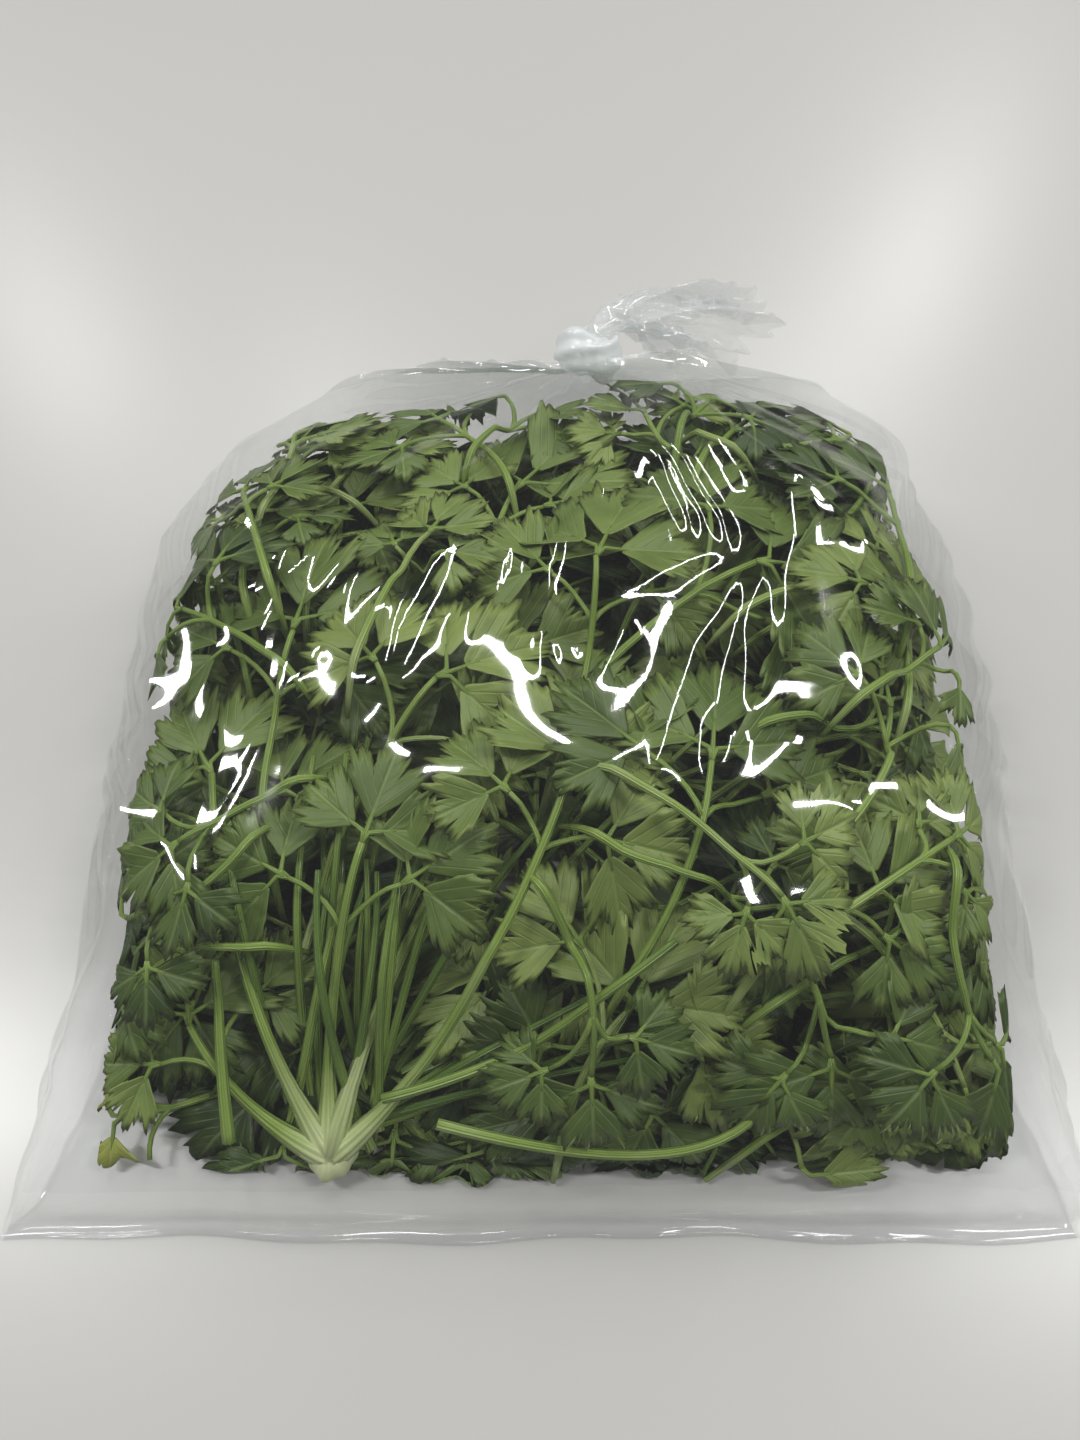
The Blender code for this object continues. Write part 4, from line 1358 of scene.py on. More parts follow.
        def shape(x: np.ndarray, y: np.ndarray) -> tuple[np.ndarray, np.ndarray]:
            """Rolls the grid into the tube."""
            ends = np.clip(np.minimum(y, 1 - y) * rows, 0, 1)
            at = np.clip((y * rows - 1) / (rows - 2), 0, 1) * (len(line) - 1)
            centre = np.stack([np.interp(at, index, line[:, k]) for k in range(3)], axis=1)
            ahead = np.stack([np.interp(at + 0.6, index, line[:, k]) for k in range(3)], axis=1)
            behind = np.stack([np.interp(at - 0.6, index, line[:, k]) for k in range(3)], axis=1)
            heading = ahead - behind
            heading /= np.linalg.norm(heading, axis=1, keepdims=True)
            side = np.cross(heading, [0.0, 0.0, 1.0])
            side /= np.linalg.norm(side, axis=1, keepdims=True) + 1e-9
            up = np.cross(side, heading)
            turn = np.pi * x
            radius = np.interp(at, index, radii) * np.sqrt(ends)
            radius = radius * (1 + 0.05 * np.cos(4 * turn))
            offset = np.cos(turn)[:, None] * side + np.sin(turn)[:, None] * up
            tone = tone_foot + (tone_tip - tone_foot) * smooth_step(y * 2.2)
            values = np.stack([turn * 9, y, tone], axis=1)
            return centre + radius[:, None] * offset, values

        self.drawn.append(mapped_grid(bm, around, rows, shape, finish=finish))

    def add_frond(self, bm: bmesh.types.BMesh, frond: Frond, tone: float, detail: Detail) -> None:
        """Adds a whole frond; tone runs from 0, dark, to 1, light.

        Args:
            bm: The mesh to add to.
            frond: The frond in the pile.
            tone: How light its leaves are.
            detail: How fine it is.
        """
        green = 0.30 + 0.35 * tone
        if frond.on_crown:
            self.add_stalk(
                bm, frond.stem, self.crown_foot_tone, green, detail, slim=self.crown_slim,
                sheath=self.crown_sheath,
            )
        else:
            self.add_stalk(
                bm, frond.stem, green + 0.1, green, detail, self.loose_dive, self.loose_slim
            )
        for branch in frond.branches:
            self.add_stalk(bm, branch, green, green, detail, slim=self.loose_slim)
        for leaf in frond.leaves:
            self.add_leaf(bm, leaf, tone + self.rng.uniform(-0.12, 0.12), detail)


class Layer(Enum):
    """Where small fronds fill the pile: count, lowest and highest target, and leaf sizes in mm."""

    FLOOR = (66, 0.04, 0.32, 32.0, 42.0)
    MIDDLE = (34, 0.35, 0.75, 24.0, 33.0)
    TOP = (34, 0.72, 0.92, 20.0, 29.0)


class Fan(Enum):
    """Stems beside the crown: headings in degrees, lengths in mm, heights in the pile."""

    UPRIGHT = ((74, 108), (60, 95), (0.55, 0.82))
    SLANTED = ((8, 80), (90, 190), (0.3, 0.7))


@dataclass
class Parsley:
    """All the fronds: those the solids stand for, and the smaller ones that fill the bag.

    Reaches are in millimetres, heights in the pile's coordinates. Hang is how far a blade's end
    sinks over the pile's edge for each millimetre that finds no room on it.
    """

    leaf: bpy.types.Material
    yellow: bpy.types.Material
    stem: bpy.types.Material
    tries: int = 30
    batch: int = 34
    sight_share: float = 0.9
    long_stems: int = 30
    long_stem_start: float = 0.16
    kept_clear: float = 3.0
    crown_reach: float = 30.0
    solid_hang: float = 0.5
    filler_hang: float = 0.9
    uneven_edge: float = 0.022
    rough_below: float = 0.34
    kept_in_sight: tuple[str, ...] = (
        "lower_left_1", "long_stem", "fork_stem", "middle_3", "left_1", "right_4", "front_pair",
        "middle_1", "middle_2", "upper_mid_2", "left_2",
    )
    heights: HeightMap = field(default_factory=HeightMap)

    def build(self) -> None:
        """Lays the solid fronds, then the fillers, and draws them all."""
        rng = random.Random(SEED)
        fronds = plan_fronds(rng)
        foliage = Foliage(random.Random(77))
        tones = random.Random(5)
        lower, laid, seen = HeightMap(), HeightMap(), HeightMap()
        for frond in fronds:
            frond.lay(laid)
            if frond.height < LOW_FROND:
                lower.w = laid.w.copy()
            if frond.name in self.kept_in_sight:
                frond.cover(seen)
        lying = []
        for course, foot, tip, tone, high in LYING_STEMS:
            stalk = Stalk(curved(course, LYING_SAMPLES), foot, tip)
            stalk.settle(laid, np.full(LYING_SAMPLES, high * HEIGHT_SHARE))
            stalk.cover(laid)
            stalk.cover(seen)
            lying.append((stalk, tone))
        seen.w = (seen.w > 0).astype(float)
        seen.mark_round(*YELLOWED_AT, YELLOWED_REACH, self.kept_clear)
        seen.mark_round(CROWN_AT[0] + 4, CROWN_AT[1] + 12, self.crown_reach, self.kept_clear)
        loose = [frond for frond in fronds if not frond.on_crown]
        for number, frond in enumerate(loose, 1):
            name = f"frond_{number:02d}"
            yellowed = frond.name == YELLOWED_FROND
            bm = bmesh.new()
            for leaf in frond.leaves:
                leaf.hang = self.solid_hang
                leaf.v_limit -= tones.uniform(0.0, self.uneven_edge)
            foliage.add_frond(bm, frond, tones.uniform(0.15, 0.9), Detail.FINE)
            made = finished(
                name + "_leaves", bm, [self.yellow if yellowed else self.leaf, self.stem],
            )
            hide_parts(name)
        self.build_crown([frond for frond in fronds if frond.on_crown], foliage, tones)
        fill = random.Random(31)
        corner = HeightMap()
        corner.mark_round(*YELLOWED_AT, YELLOWED_REACH, self.kept_clear)
        fillers = self.fillers(Layer.FLOOR, HeightMap(), corner, fill)
        fillers += self.fillers(Layer.MIDDLE, lower, seen, fill)
        fillers += self.fillers(Layer.TOP, laid, seen, fill)
        for first in range(0, len(fillers), self.batch):
            bm = bmesh.new()
            for frond in fillers[first : first + self.batch]:
                # Painted shade: the lower a filler frond lies in the pile, the darker its leaves and
                # stems are made, standing in for the shadow deep inside the pile.
                low = 1 - min(1.0, frond.height / 0.8)
                part = bmesh.new()
                rough = frond.height < self.rough_below * HEIGHT_SHARE
                detail = Detail.ROUGH if rough else Detail.PLAIN
                foliage.add_frond(part, frond, fill.uniform(0.1, 0.95) - 0.5 * low, detail)
                append(bm, part)
            name = f"filler_fronds_{first // self.batch + 1}"
            finished(name, bm, [self.leaf, self.stem])
        self.build_stems(foliage, lying, random.Random(8))
        for points in foliage.drawn:
            self.heights.raise_over(points)

    def build_stems(
        self, foliage: Foliage, lying: Iterable[tuple[Stalk, float]], rng: random.Random
    ) -> None:
        """Draws the loose stems and those that run from beside the crown into the pile.

        Args:
            foliage: What draws them.
            lying: Loose stems, laid, with their tones.
            rng: The source of the others' places and sizes.
        """
        bm = bmesh.new()
        for stalk, tone in lying:
            foliage.add_stalk(bm, stalk, tone - 0.08, tone + 0.10, Detail.FINE)
        along = np.linspace(0, 1, LYING_SAMPLES)
        for k in range(self.long_stems):
            headings, lengths, tops = (Fan.SLANTED if k % 2 else Fan.UPRIGHT).value
            heading = math.radians(rng.uniform(*headings))
            reach = rng.uniform(*lengths)
            foot = (CROWN_AT[0] + rng.uniform(-16, 14), CROWN_AT[1] + rng.uniform(2, 9))
            tip = (foot[0] + reach * math.cos(heading), foot[1] + reach * math.sin(heading))
            plan = bowed(foot, tip, rng.uniform(-9, 9), LYING_SAMPLES)
            stalk = Stalk(plan, rng.uniform(1.1, 1.6), 0.8)
            start, high = self.long_stem_start, rng.uniform(*tops)
            stalk.w = start + (high - start) * smooth_step(along * rng.uniform(1.2, 1.8))
            part = bmesh.new()
            foliage.add_stalk(part, stalk, 0.6, rng.uniform(0.0, 0.45), Detail.PLAIN)
            append(bm, part)
        finished("filler_stems", bm, [self.leaf, self.stem])

    def build_crown(self, fronds: list[Frond], foliage: Foliage, tones: random.Random) -> None:
        """Draws the crown as a pale ribbed base with its stems.

        Args:
            fronds: Those that grow from it.
            foliage: What draws them.
            tones: The source of their tones.
        """
        bm = bmesh.new()
        for frond in fronds:
            foliage.add_frond(bm, frond, tones.uniform(0.4, 0.9), Detail.FINE)

        def shape(x: np.ndarray, y: np.ndarray) -> tuple[np.ndarray, np.ndarray]:
            """Rolls the grid into the crown's ribbed base."""
            turn, rise = np.pi * x, np.pi * (y - 0.5)
            ribs = 1 + 0.05 * np.cos(7 * turn) * np.cos(rise) + 0.05 * np.sin(3 * turn + 1)
            points = np.stack([
                CROWN_AT[0] + 0.80 * CROWN_RADIUS * ribs * np.cos(rise) * np.cos(turn),
                CROWN_AT[1] + 1.5 + 0.92 * CROWN_RADIUS * ribs * np.cos(rise) * np.sin(turn),
                CROWN_HEIGHT - 1 + (CROWN_HEIGHT - 1 - FLOOR) * np.sin(rise),
            ], axis=1)
            return points, np.stack([9 * turn, y, np.full(len(x), 0.92)], axis=1)

        mapped_grid(bm, 48, 16, shape, finish=1)
        made = finished("crown_stems", bm, [self.leaf, self.stem])
        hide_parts("crown_fronds")

    def fillers(
        self, layer: Layer, heights: HeightMap, seen: HeightMap, rng: random.Random
    ) -> list[Frond]:
        """Lays small fronds where the pile still stands lowest.

        Args:
            layer: Which layer of the pile they fill.
            heights: The pile so far, which they are added to.
            seen: Where fronds stay in sight, which the fillers keep off.
            rng: The source of their places and sizes.

        Returns:
            The fronds, laid.
        """
        count, lowest, highest, small, large = layer.value
        fronds: list[Frond] = []
        for k in range(count):
            spots = [
                (math.radians(rng.uniform(-68, 68)), rng.uniform(0.09, 0.93))
                for _ in range(self.tries)
            ]
            across, v = min(spots, key=lambda spot: (
                heights.mean_near(*spot, 15.0) + self.sight_share * seen.mean_near(*spot, 17.0)
            ))
            tip = place(np.array([across]), np.array([v]), np.array([0.5]))[0]
            away = math.atan2(tip[1] + 60, tip[0]) + rng.uniform(-0.9, 0.9)
            stem = rng.uniform(26, 52)
            foot = (tip[0] - stem * math.cos(away), tip[1] - stem * math.sin(away))
            size = rng.uniform(small, large)
            height = lowest + (highest - lowest) * (k + rng.random()) / count
            frond = Frond(
                f"{layer.name}_{k}", foot, (tip[0], tip[1]), rng.uniform(-9, 9), size,
                0.8 * size, rng.uniform(-25, 25), height, rng,
            )
            u_limit, v_limit = math.radians(rng.uniform(64, 78)), rng.uniform(0.430, 0.470)
            if layer is Layer.FLOOR:
                u_limit, v_limit = u_limit + 0.08, v_limit + 0.015
            for leaf in frond.leaves:
                leaf.u_limit, leaf.v_limit = max(u_limit, abs(leaf.u)), v_limit
                leaf.hang = self.filler_hang
            frond.lay(heights)
            fronds.append(frond)
        return fronds


# The bag


def film_width(y: np.ndarray) -> np.ndarray:
    """Gives half the bag's width at y.

    Args:
        y: Millimetres to the back.

    Returns:
        Millimetres.
    """
    v = np.clip((y - PILE_FRONT) / PILE_LENGTH, 0, 1)
    ear = np.clip((-60.0 - y) / 100.0, 0, 1) ** 1.7
    body = half_width(v) + 1.0
    seam = BAG_WIDTH / 2 / (1 + FLARE_ALL + FLARE_FRONT)
    return body + (seam - body) * ear


@dataclass
class Bag:
    """The clear bag: its upper and lower film, the knot and the gathered tail.

    Lengths are in millimetres. Hazes are shares of milky film. Gather is the share of the film's
    rows that is drawn into the neck, and air the gap under the relaxed skin. A fold line is its
    two ends seen from above, its rise and its width.
    """

    clear: bpy.types.Material
    milky: bpy.types.Material
    heights: HeightMap
    neck_at: Vector = field(default_factory=lambda: Vector((16.0, 111.0, 55.0)))
    neck_axis: Vector = field(
        default_factory=lambda: Vector((0.30, 0.66, 0.68)).normalized()
    )
    neck_radius: float = 2.6
    neck_length: float = 7.0
    gather_ring: tuple[float, float] = (15.0, 13.0)
    gather_length: float = 11.0
    gather_pleat: float = 0.16
    gather_pleats: int = 11
    gathered_haze: float = 0.55
    seam_haze: float = 0.06
    back_haze: float = 0.05
    seam_reach: float = 12.0
    belt: float = 0.42
    fold_gain: float = 1.5
    pleat_height: float = 1.7
    pucker_height: float = 1.3
    ear_height: float = 2.2
    pleat_from_y: float = 106.0
    ray_from_y: float = 104.0
    facet_slope: float = 0.016
    knot_radius: float = 4.3
    tail_end: Vector = field(default_factory=lambda: Vector((66.0, 140.0, 34.0)))
    tail_axis: Vector = field(
        default_factory=lambda: Vector((0.70, 0.42, -0.58)).normalized()
    )
    tail_width: float = 22.0
    tail_depth: float = 11.0
    film: float = 0.14
    last_y: float = 101.0
    gather: float = 0.2
    slack: float = 0.8
    air: float = 3.4
    stretching: int = 500
    pull: float = 0.003
    smoothing: int = 40
    rays: int = 20
    fold_lines: tuple[tuple[float, ...], ...] = (
        (16, 96, 17, 30, 0.9, 4.0), (3, 66, -3, -22, 0.8, 4.5), (-1, 74, -47, -36, 1.1, 5.0),
        (-2, 98, -84, -8, 1.2, 5.5), (-84, -8, -108, -96, 1.0, 6.0), (-24, 66, -62, -26, 0.7, 4.0),
        (-40, 80, -98, 10, 0.9, 5.0), (53, 4, 22, -64, 1.2, 5.5), (60, 6, 50, -40, 0.8, 4.0),
        (50, -40, 40, -56, 0.8, 4.0), (30, 88, 74, 26, 0.9, 4.5), (40, 88, 100, 34, 1.2, 5.5),
        (88, 22, 108, -48, 0.9, 5.0), (-1, -8, 9, -28, 0.8, 3.6), (9, -28, 16, -30, 0.7, 3.6),
        (16, -30, 21, -6, 0.8, 3.6), (14, -6, 48, 14, 0.7, 4.0), (-60, -20, -88, -74, 0.8, 4.5),
        (-12, 60, -28, 4, 0.7, 3.6), (-50, 40, -76, -34, 0.8, 4.5), (72, -60, 104, -108, 0.9, 5.0),
        (60, -84, 98, -72, 0.7, 4.0), (-96, -60, -82, -108, 0.9, 4.5), (84, -20, 92, -84, 0.7, 4.5),
        (-30, -100, 34, -112, 0.6, 4.5), (26, 60, 36, 6, 0.6, 4.0), (70, 44, 66, -14, 0.7, 4.5),
    )

    def build(self) -> None:
        """Builds every piece of the bag."""
        self.drape = self.relaxed_drape()
        self.build_film("bag_upper_film", True, 240, 196)
        self.build_film("bag_lower_film", False, 80, 90)
        self.build_knot()
        self.build_tail()

    def relaxed_drape(self) -> np.ndarray:
        """Stretches a skin over the parsley.

        Returns:
            The skin's w over each cell of the height map.
        """
        rest = np.clip(self.heights.w, 0.0, 1 + RISE / self.heights.depth)
        floor = self.widest(rest, 4) + 0.6 / self.heights.step_w
        skin = np.maximum(floor, 1.0)
        for _ in range(self.stretching):
            skin = np.maximum(
                floor, self.mean_of(skin) * (1 - self.pull) + self.pull * self.slack
            )
        for _ in range(self.smoothing):
            skin = self.mean_of(skin)
        return skin + self.air / self.heights.step_w

    @staticmethod
    def widest(grid: np.ndarray, reach: int) -> np.ndarray:
        """Gives each cell the highest value within reach cells of it.

        Args:
            grid: One value for each cell.
            reach: How many cells round each.

        Returns:
            The new values.
        """
        padded = np.pad(grid, reach, mode="edge")
        rows, columns = grid.shape
        span = range(2 * reach + 1)
        return np.maximum.reduce([
            padded[i : i + rows, j : j + columns] for i in span for j in span
        ])

    @staticmethod
    def mean_of(grid: np.ndarray) -> np.ndarray:
        """Gives each cell the mean of its four neighbours.

        Args:
            grid: One value for each cell.

        Returns:
            The new values.
        """
        padded = np.pad(grid, 1, mode="edge")
        return (
            padded[2:, 1:-1] + padded[:-2, 1:-1] + padded[1:-1, 2:] + padded[1:-1, :-2]
        ) / 4

    def drape_at(self, u: np.ndarray, v: np.ndarray) -> np.ndarray:
        """Reads the skin between the cells of the height map.

        Args:
            u: Angles across the pile.
            v: Shares of its length.

        Returns:
            One w for each point.
        """
        grid = self.drape
        x = np.clip((u + HeightMap.U_END) / (2 * HeightMap.U_END), 0, 1) * (grid.shape[0] - 1)
        y = np.clip(v, 0, 1) * (grid.shape[1] - 1)
        i = np.minimum(x.astype(int), grid.shape[0] - 2)
        j = np.minimum(y.astype(int), grid.shape[1] - 2)
        a, b = x - i, y - j
        return (
            grid[i, j] * (1 - a) * (1 - b) + grid[i + 1, j] * a * (1 - b)
            + grid[i, j + 1] * (1 - a) * b + grid[i + 1, j + 1] * a * b
        )

    def body_point(self, u: np.ndarray, y: np.ndarray, upper: bool) -> np.ndarray:
        """Gives the film's points over or under the pile, at angles u and lengths y.

        Args:
            u: Angles across the pile.
            y: Millimetres to the back.
            upper: True for the film over the pile.

        Returns:
            The points in millimetres.
        """
        half = BAG_LENGTH / 2
        v = np.clip((y - PILE_FRONT) / PILE_LENGTH, 0, 1)
        risen = smooth_step((y + half - 3) / 8.0)
        across = np.maximum(np.cos(u), 0.0)
        top, bottom = top_and_bottom(np.clip(u, -1.5, 1.5), v)
        belt = self.belt * crest(v)
        side = np.minimum(1.0, across / math.cos(U_LIMIT)) ** 0.6
        if upper:
            over = bottom + self.drape_at(u, v) * (top - bottom) + 1.5
            z = (belt + (over - belt) * side) * risen + 1.1 * (1 - risen)
        else:
            curl = 0.25 * crest(v) * np.maximum(0.0, 1 - np.cos(u) - FLAT_SHARE) ** 2
            z = (belt + (curl - belt) * side) * risen + 0.2 * (1 - risen)
        x = middle(v) * risen + film_width(y) * np.sin(u)
        return np.stack([x, y, z], axis=-1)

    def ring_round(
        self, centre: Vector, axis: Vector, half_side: float, half_up: float, turn: np.ndarray
    ) -> np.ndarray:
        """Gives points on a ring round an axis.

        Args:
            centre: The ring's middle.
            axis: The direction through it.
            half_side: Half its width.
            half_up: Half its height.
            turn: Angles round it, in radians.

        Returns:
            One point for each angle.
        """
        side = Vector((1.0, 0.0, 0.0))
        side = (side - axis * side.dot(axis)).normalized()
        up = side.cross(axis)
        return (
            np.array(centre) + np.outer(half_side * np.cos(turn), side)
            + np.outer(half_up * np.sin(turn), up)
        )

    def folds(self, points: np.ndarray) -> np.ndarray:
        """Gives how far the film's folds stand out at each point, in millimetres.

        Args:
            points: Points on the film, in millimetres.

        Returns:
            One height for each point.
        """
        rng = random.Random(9)
        x, y = points[:, 0], points[:, 1]
        dx, dy = x - self.neck_at[0], y - self.pleat_from_y
        far = np.hypot(dx, dy)
        turn = np.arctan2(dy, dx)
        pleats = (0.5 + 0.5 * np.cos(turn * 17 + 0.9 * np.sin(far / 30))) ** 2
        pleats += 0.6 * (0.5 + 0.5 * np.cos(turn * 31 + 1.3 + 1.1 * np.sin(far / 22))) ** 2
        height = self.pleat_height * pleats * np.exp(-far / 46.0) * smooth_step(far / 14)
        for x0, y0, x1, y1, rise, wide in (*self.fold_lines, *self.ray_lines()):
            length = math.hypot(x1 - x0, y1 - y0)
            ahead = ((x - x0) * (x1 - x0) + (y - y0) * (y1 - y0)) / length
            aside = ((x - x0) * (y1 - y0) - (y - y0) * (x1 - x0)) / length
            aside = aside + 1.3 * np.sin(ahead / 13 + x0) + 0.4 * np.sin(ahead / 3.7 + y0)
            fade = smooth_step((ahead + 4) / 12) * smooth_step((length + 4 - ahead) / 16)
            ridge = self.fold_gain * rise * fade * np.exp(-((aside / wide) ** 2))
            height = np.maximum(height, height * 0.4 + ridge)
        facets = np.zeros(len(x))
        for _ in range(5):
            heading = rng.uniform(0, math.pi)
            wave = rng.uniform(34, 80)
            phase = rng.uniform(0, 1)
            bend = rng.uniform(0.02, 0.06)
            along = x * math.cos(heading) + y * math.sin(heading)
            aside = -x * math.sin(heading) + y * math.cos(heading)
            step = (along + 5 * np.sin(aside * bend)) / wave + phase
            facets += np.abs((step % 1.0) - 0.5) * wave * self.facet_slope
        return height + facets + self.puckers(x, y)

    def ray_lines(self) -> list[tuple[float, ...]]:
        """Gives the folds that run out from the knot, in the form of fold_lines.

        Returns:
            Ends, rise and width of each.
        """
        rng = random.Random(9)
        lines = []
        for k in range(self.rays):
            heading = math.radians(-174 + 168 * (k + rng.random()) / self.rays)
            start = rng.uniform(10, 46)
            end = start + rng.uniform(40, 110)
            ahead = (math.cos(heading), math.sin(heading))
            lines.append((
                self.neck_at[0] + start * ahead[0], self.ray_from_y + start * ahead[1],
                self.neck_at[0] + end * ahead[0], self.ray_from_y + end * ahead[1],
                rng.uniform(0.6, 1.1), rng.uniform(2.6, 4.2),
            ))
        return lines

    @staticmethod
    def crumple(y: np.ndarray, z: np.ndarray) -> np.ndarray:
        """Gives how far the film at the bag's sides stands out in its creases.

        Args:
            y: Millimetres to the back.
            z: Millimetres over the table.

        Returns:
            Millimetres.
        """
        long = np.abs(np.sin(y / 11.0 + 1.6 * np.sin(y / 31.0) + z / 17.0)) ** 1.4
        short = np.abs(np.sin(y / 5.3 - 1.2 * np.sin(y / 13.0) - z / 8.0)) ** 1.4
        return 1.6 * long + 0.9 * short

    def puckers(self, x: np.ndarray, y: np.ndarray) -> np.ndarray:
        """Gives how far the film stands up in the puckers behind the seam and in the ears.

        Args:
            x: Millimetres to the right.
            y: Millimetres to the back.

        Returns:
            Millimetres.
        """
        behind = y + BAG_LENGTH / 2
        front = np.abs(np.sin(x / 9.0 + 1.4 * np.sin(x / 27.0) + 0.05 * behind)) ** 1.5
        front += 0.5 * np.abs(np.sin(x / 3.7 + 1.1 * np.sin(x / 11.0))) ** 1.5
        front = front * np.exp(-((behind / 16.0) ** 2))
        outside = np.abs(x) - 112.0
        turn = np.arctan2(behind + 6, np.maximum(outside, 0.1))
        ears = (0.5 + 0.5 * np.cos(turn * 15 + outside / 5)) ** 2
        ears = ears * smooth_step(outside / 14.0) * np.exp(-behind / 22.0)
        raised = self.pucker_height * front + self.ear_height * ears
        return raised * smooth_step((behind - 1.0) / 4.0)

    def build_film(self, name: str, upper: bool, across: int, along: int) -> None:
        """Builds one side of the bag from the seam to the neck.

        Args:
            name: The piece's name.
            upper: True for the side over the parsley.
            across: Faces across.
            along: Faces along.
        """
        bm = bmesh.new()
        half = BAG_LENGTH / 2

        def shape(x: np.ndarray, s: np.ndarray) -> tuple[np.ndarray, np.ndarray]:
            """Lays the grid over the pile and draws its end into the neck."""
            u = -x * np.pi / 2
            body_share = 1 - self.gather
            t = np.clip((s - body_share) / self.gather, 0, 1)
            y = -half + (self.last_y + half) * np.clip(s / body_share, 0, 1)
            points = self.body_point(u, y, upper)
            near_seam = 1 - smooth_step((y + half) / self.seam_reach)
            turn = np.pi / 2 - u if upper else 1.5 * np.pi + u
            neck = self.ring_round(
                self.neck_at - self.neck_axis * self.neck_length, self.neck_axis,
                self.neck_radius, self.neck_radius, turn,
            )
            wide = self.ring_round(
                self.neck_at - self.neck_axis * self.gather_length, self.neck_axis,
                *self.gather_ring, turn,
            )
            under = np.clip(-np.sin(turn), 0, 1)[:, None]
            reach = np.array([0.0, 1.0, 0.0]) * (9.0 + 20.0 * under)
            back = wide + np.array([0.0, 5.0, -10.0]) * under
            t = t[:, None]
            drawn = (
                (1 - t) ** 3 * points + 3 * t * (1 - t) ** 2 * (points + reach)
                + 3 * t * t * (1 - t) * back + t**3 * neck
            )
            waves = np.cos(self.gather_pleats * turn + 2 * np.sin(3 * turn))[:, None]
            pleat = self.gather_pleat * smooth_step(t / 0.5) * (1 - t) * waves
            middle = np.array([16.0, 0.0, 30.0]) * t + np.array([3.0, 0.0, 20.0]) * (1 - t)
            middle[:, 1] = drawn[:, 1]
            drawn = middle + (drawn - middle) * (1 + pleat)
            points = np.where(t > 0, drawn, points)
            if upper:
                rise = self.folds(points) * (1 - t[:, 0] ** 2)
                rise = rise * np.maximum(smooth_step(1.35 * np.cos(u) ** 0.5), near_seam)
                outward = np.stack([0.35 * np.sin(u), 0 * u, 0.4 + 0.6 * np.cos(u)], axis=1)
                points = points + rise[:, None] * outward
            at_side = smooth_step((np.abs(np.sin(u)) - 0.8) / 0.15) * (1 - near_seam)
            at_side = at_side * self.crumple(y, points[:, 2]) * (1 - t[:, 0]) * np.sign(u)
            points[:, 0] += at_side * (0.5 + 0.5 * smooth_step((y + half) / 30.0))
            long_wave, short_wave = points[:, 0] / 21.0, points[:, 0] / 7.3 + 1.0
            points[:, 1] += near_seam * (np.sin(long_wave) + 0.5 * np.sin(short_wave))
            crowded = self.gathered_haze * smooth_step(t[:, 0] * 1.3) + self.seam_haze * near_seam
            crowded += self.back_haze * smooth_step((y - 60.0) / 40.0)
            return points, np.stack([u, s, crowded], axis=1)

        mapped_grid(bm, across, along, shape)
        bmesh.ops.solidify(bm, geom=bm.faces, thickness=self.film * MM)
        made = finished(name, bm, [self.clear])
        if upper:
            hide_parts("bag_film")

    def build_knot(self) -> None:
        """Builds the knot: the neck's own film wound round it, in lumpy turns."""
        bm = bmesh.new()
        side = Vector((1.0, 0.0, 0.0))
        side = (side - self.neck_axis * side.dot(self.neck_axis)).normalized()
        up = side.cross(self.neck_axis)
        centre = self.neck_at - self.neck_axis * 0.5
        ring = self.neck_radius + 0.3 + self.knot_radius

        def shape(x: np.ndarray, y: np.ndarray) -> tuple[np.ndarray, np.ndarray]:
            """Winds the grid into the knot's lumpy turns."""
            turn, wound = np.pi * x, 2 * np.pi * y
            lump = 1 + 0.16 * np.sin(3 * turn + 0.6) + 0.10 * np.sin(5 * wound + 4 * turn)
            crease = 1 - 0.12 * np.abs(np.sin(3.5 * wound + 3 * turn))
            thick = self.knot_radius * lump * crease
            out = ring + thick * np.cos(wound) * np.where(np.cos(wound) > 0, 1.0, 0.9)
            rise = thick * 1.6 * np.sin(wound)
            points = (
                np.array(centre) + np.outer(out * np.cos(turn), side)
                + np.outer(out * np.sin(turn), up) + np.outer(rise, self.neck_axis)
            )
            return points, np.stack([turn, wound, 0 * x], axis=1)

        mapped_grid(bm, 90, 40, shape)
        made = finished("bag_knot_turns", bm, [self.milky])
        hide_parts("bag_knot")

    def build_tail(self) -> None:
        """Builds the gathered film beyond the knot, pleated and crumpled."""
        bm = bmesh.new()
        foot = self.neck_at + self.neck_axis * 0.2
        path = [
            np.array(foot), np.array(foot + self.neck_axis * 22),
            np.array(self.tail_end - self.tail_axis * 26), np.array(self.tail_end),
        ]

        def shape(x: np.ndarray, t: np.ndarray) -> tuple[np.ndarray, np.ndarray]:
            """Rolls the grid into the tail's pleats."""
            a, b, c, d = path
            s = t[:, None]
            centre = (1 - s) ** 3 * a + 3 * s * (1 - s) ** 2 * b + 3 * s * s * (1 - s) * c + s**3 * d
            heading = (1 - s) ** 2 * (b - a) + 2 * s * (1 - s) * (c - b) + s * s * (d - c)
            heading /= np.linalg.norm(heading, axis=1, keepdims=True)
            side = np.array([1.0, 0.0, 0.0]) - heading * heading[:, :1]
            side /= np.linalg.norm(side, axis=1, keepdims=True)
            up = np.cross(side, heading)
            turn = np.pi * x
            spread = smooth_step(t)
            ruffle = 0.34 * np.cos(6 * turn + 1.5 * t) + 0.20 * np.sin(13 * turn - 5 * t)
            ruffle += 0.14 * np.abs(np.sin(9 * turn + 17 * t)) + 0.10 * np.sin(19 * turn + 9 * t)
            ruffle -= 0.22 * np.abs(np.sin(10 * t + 2.5 * np.sin(2 * turn)))
            ruffle -= 0.14 * np.abs(np.sin(21 * t - 5 * turn))
            wave = 1 + ruffle * smooth_step(t * 1.6) * 0.85
            wide = (self.neck_radius + (self.tail_width - self.neck_radius) * spread) * wave
            deep = (self.neck_radius + (self.tail_depth - self.neck_radius) * spread) * wave
            fringe = 3.0 * t**4 * np.sin(5 * turn + 0.8)
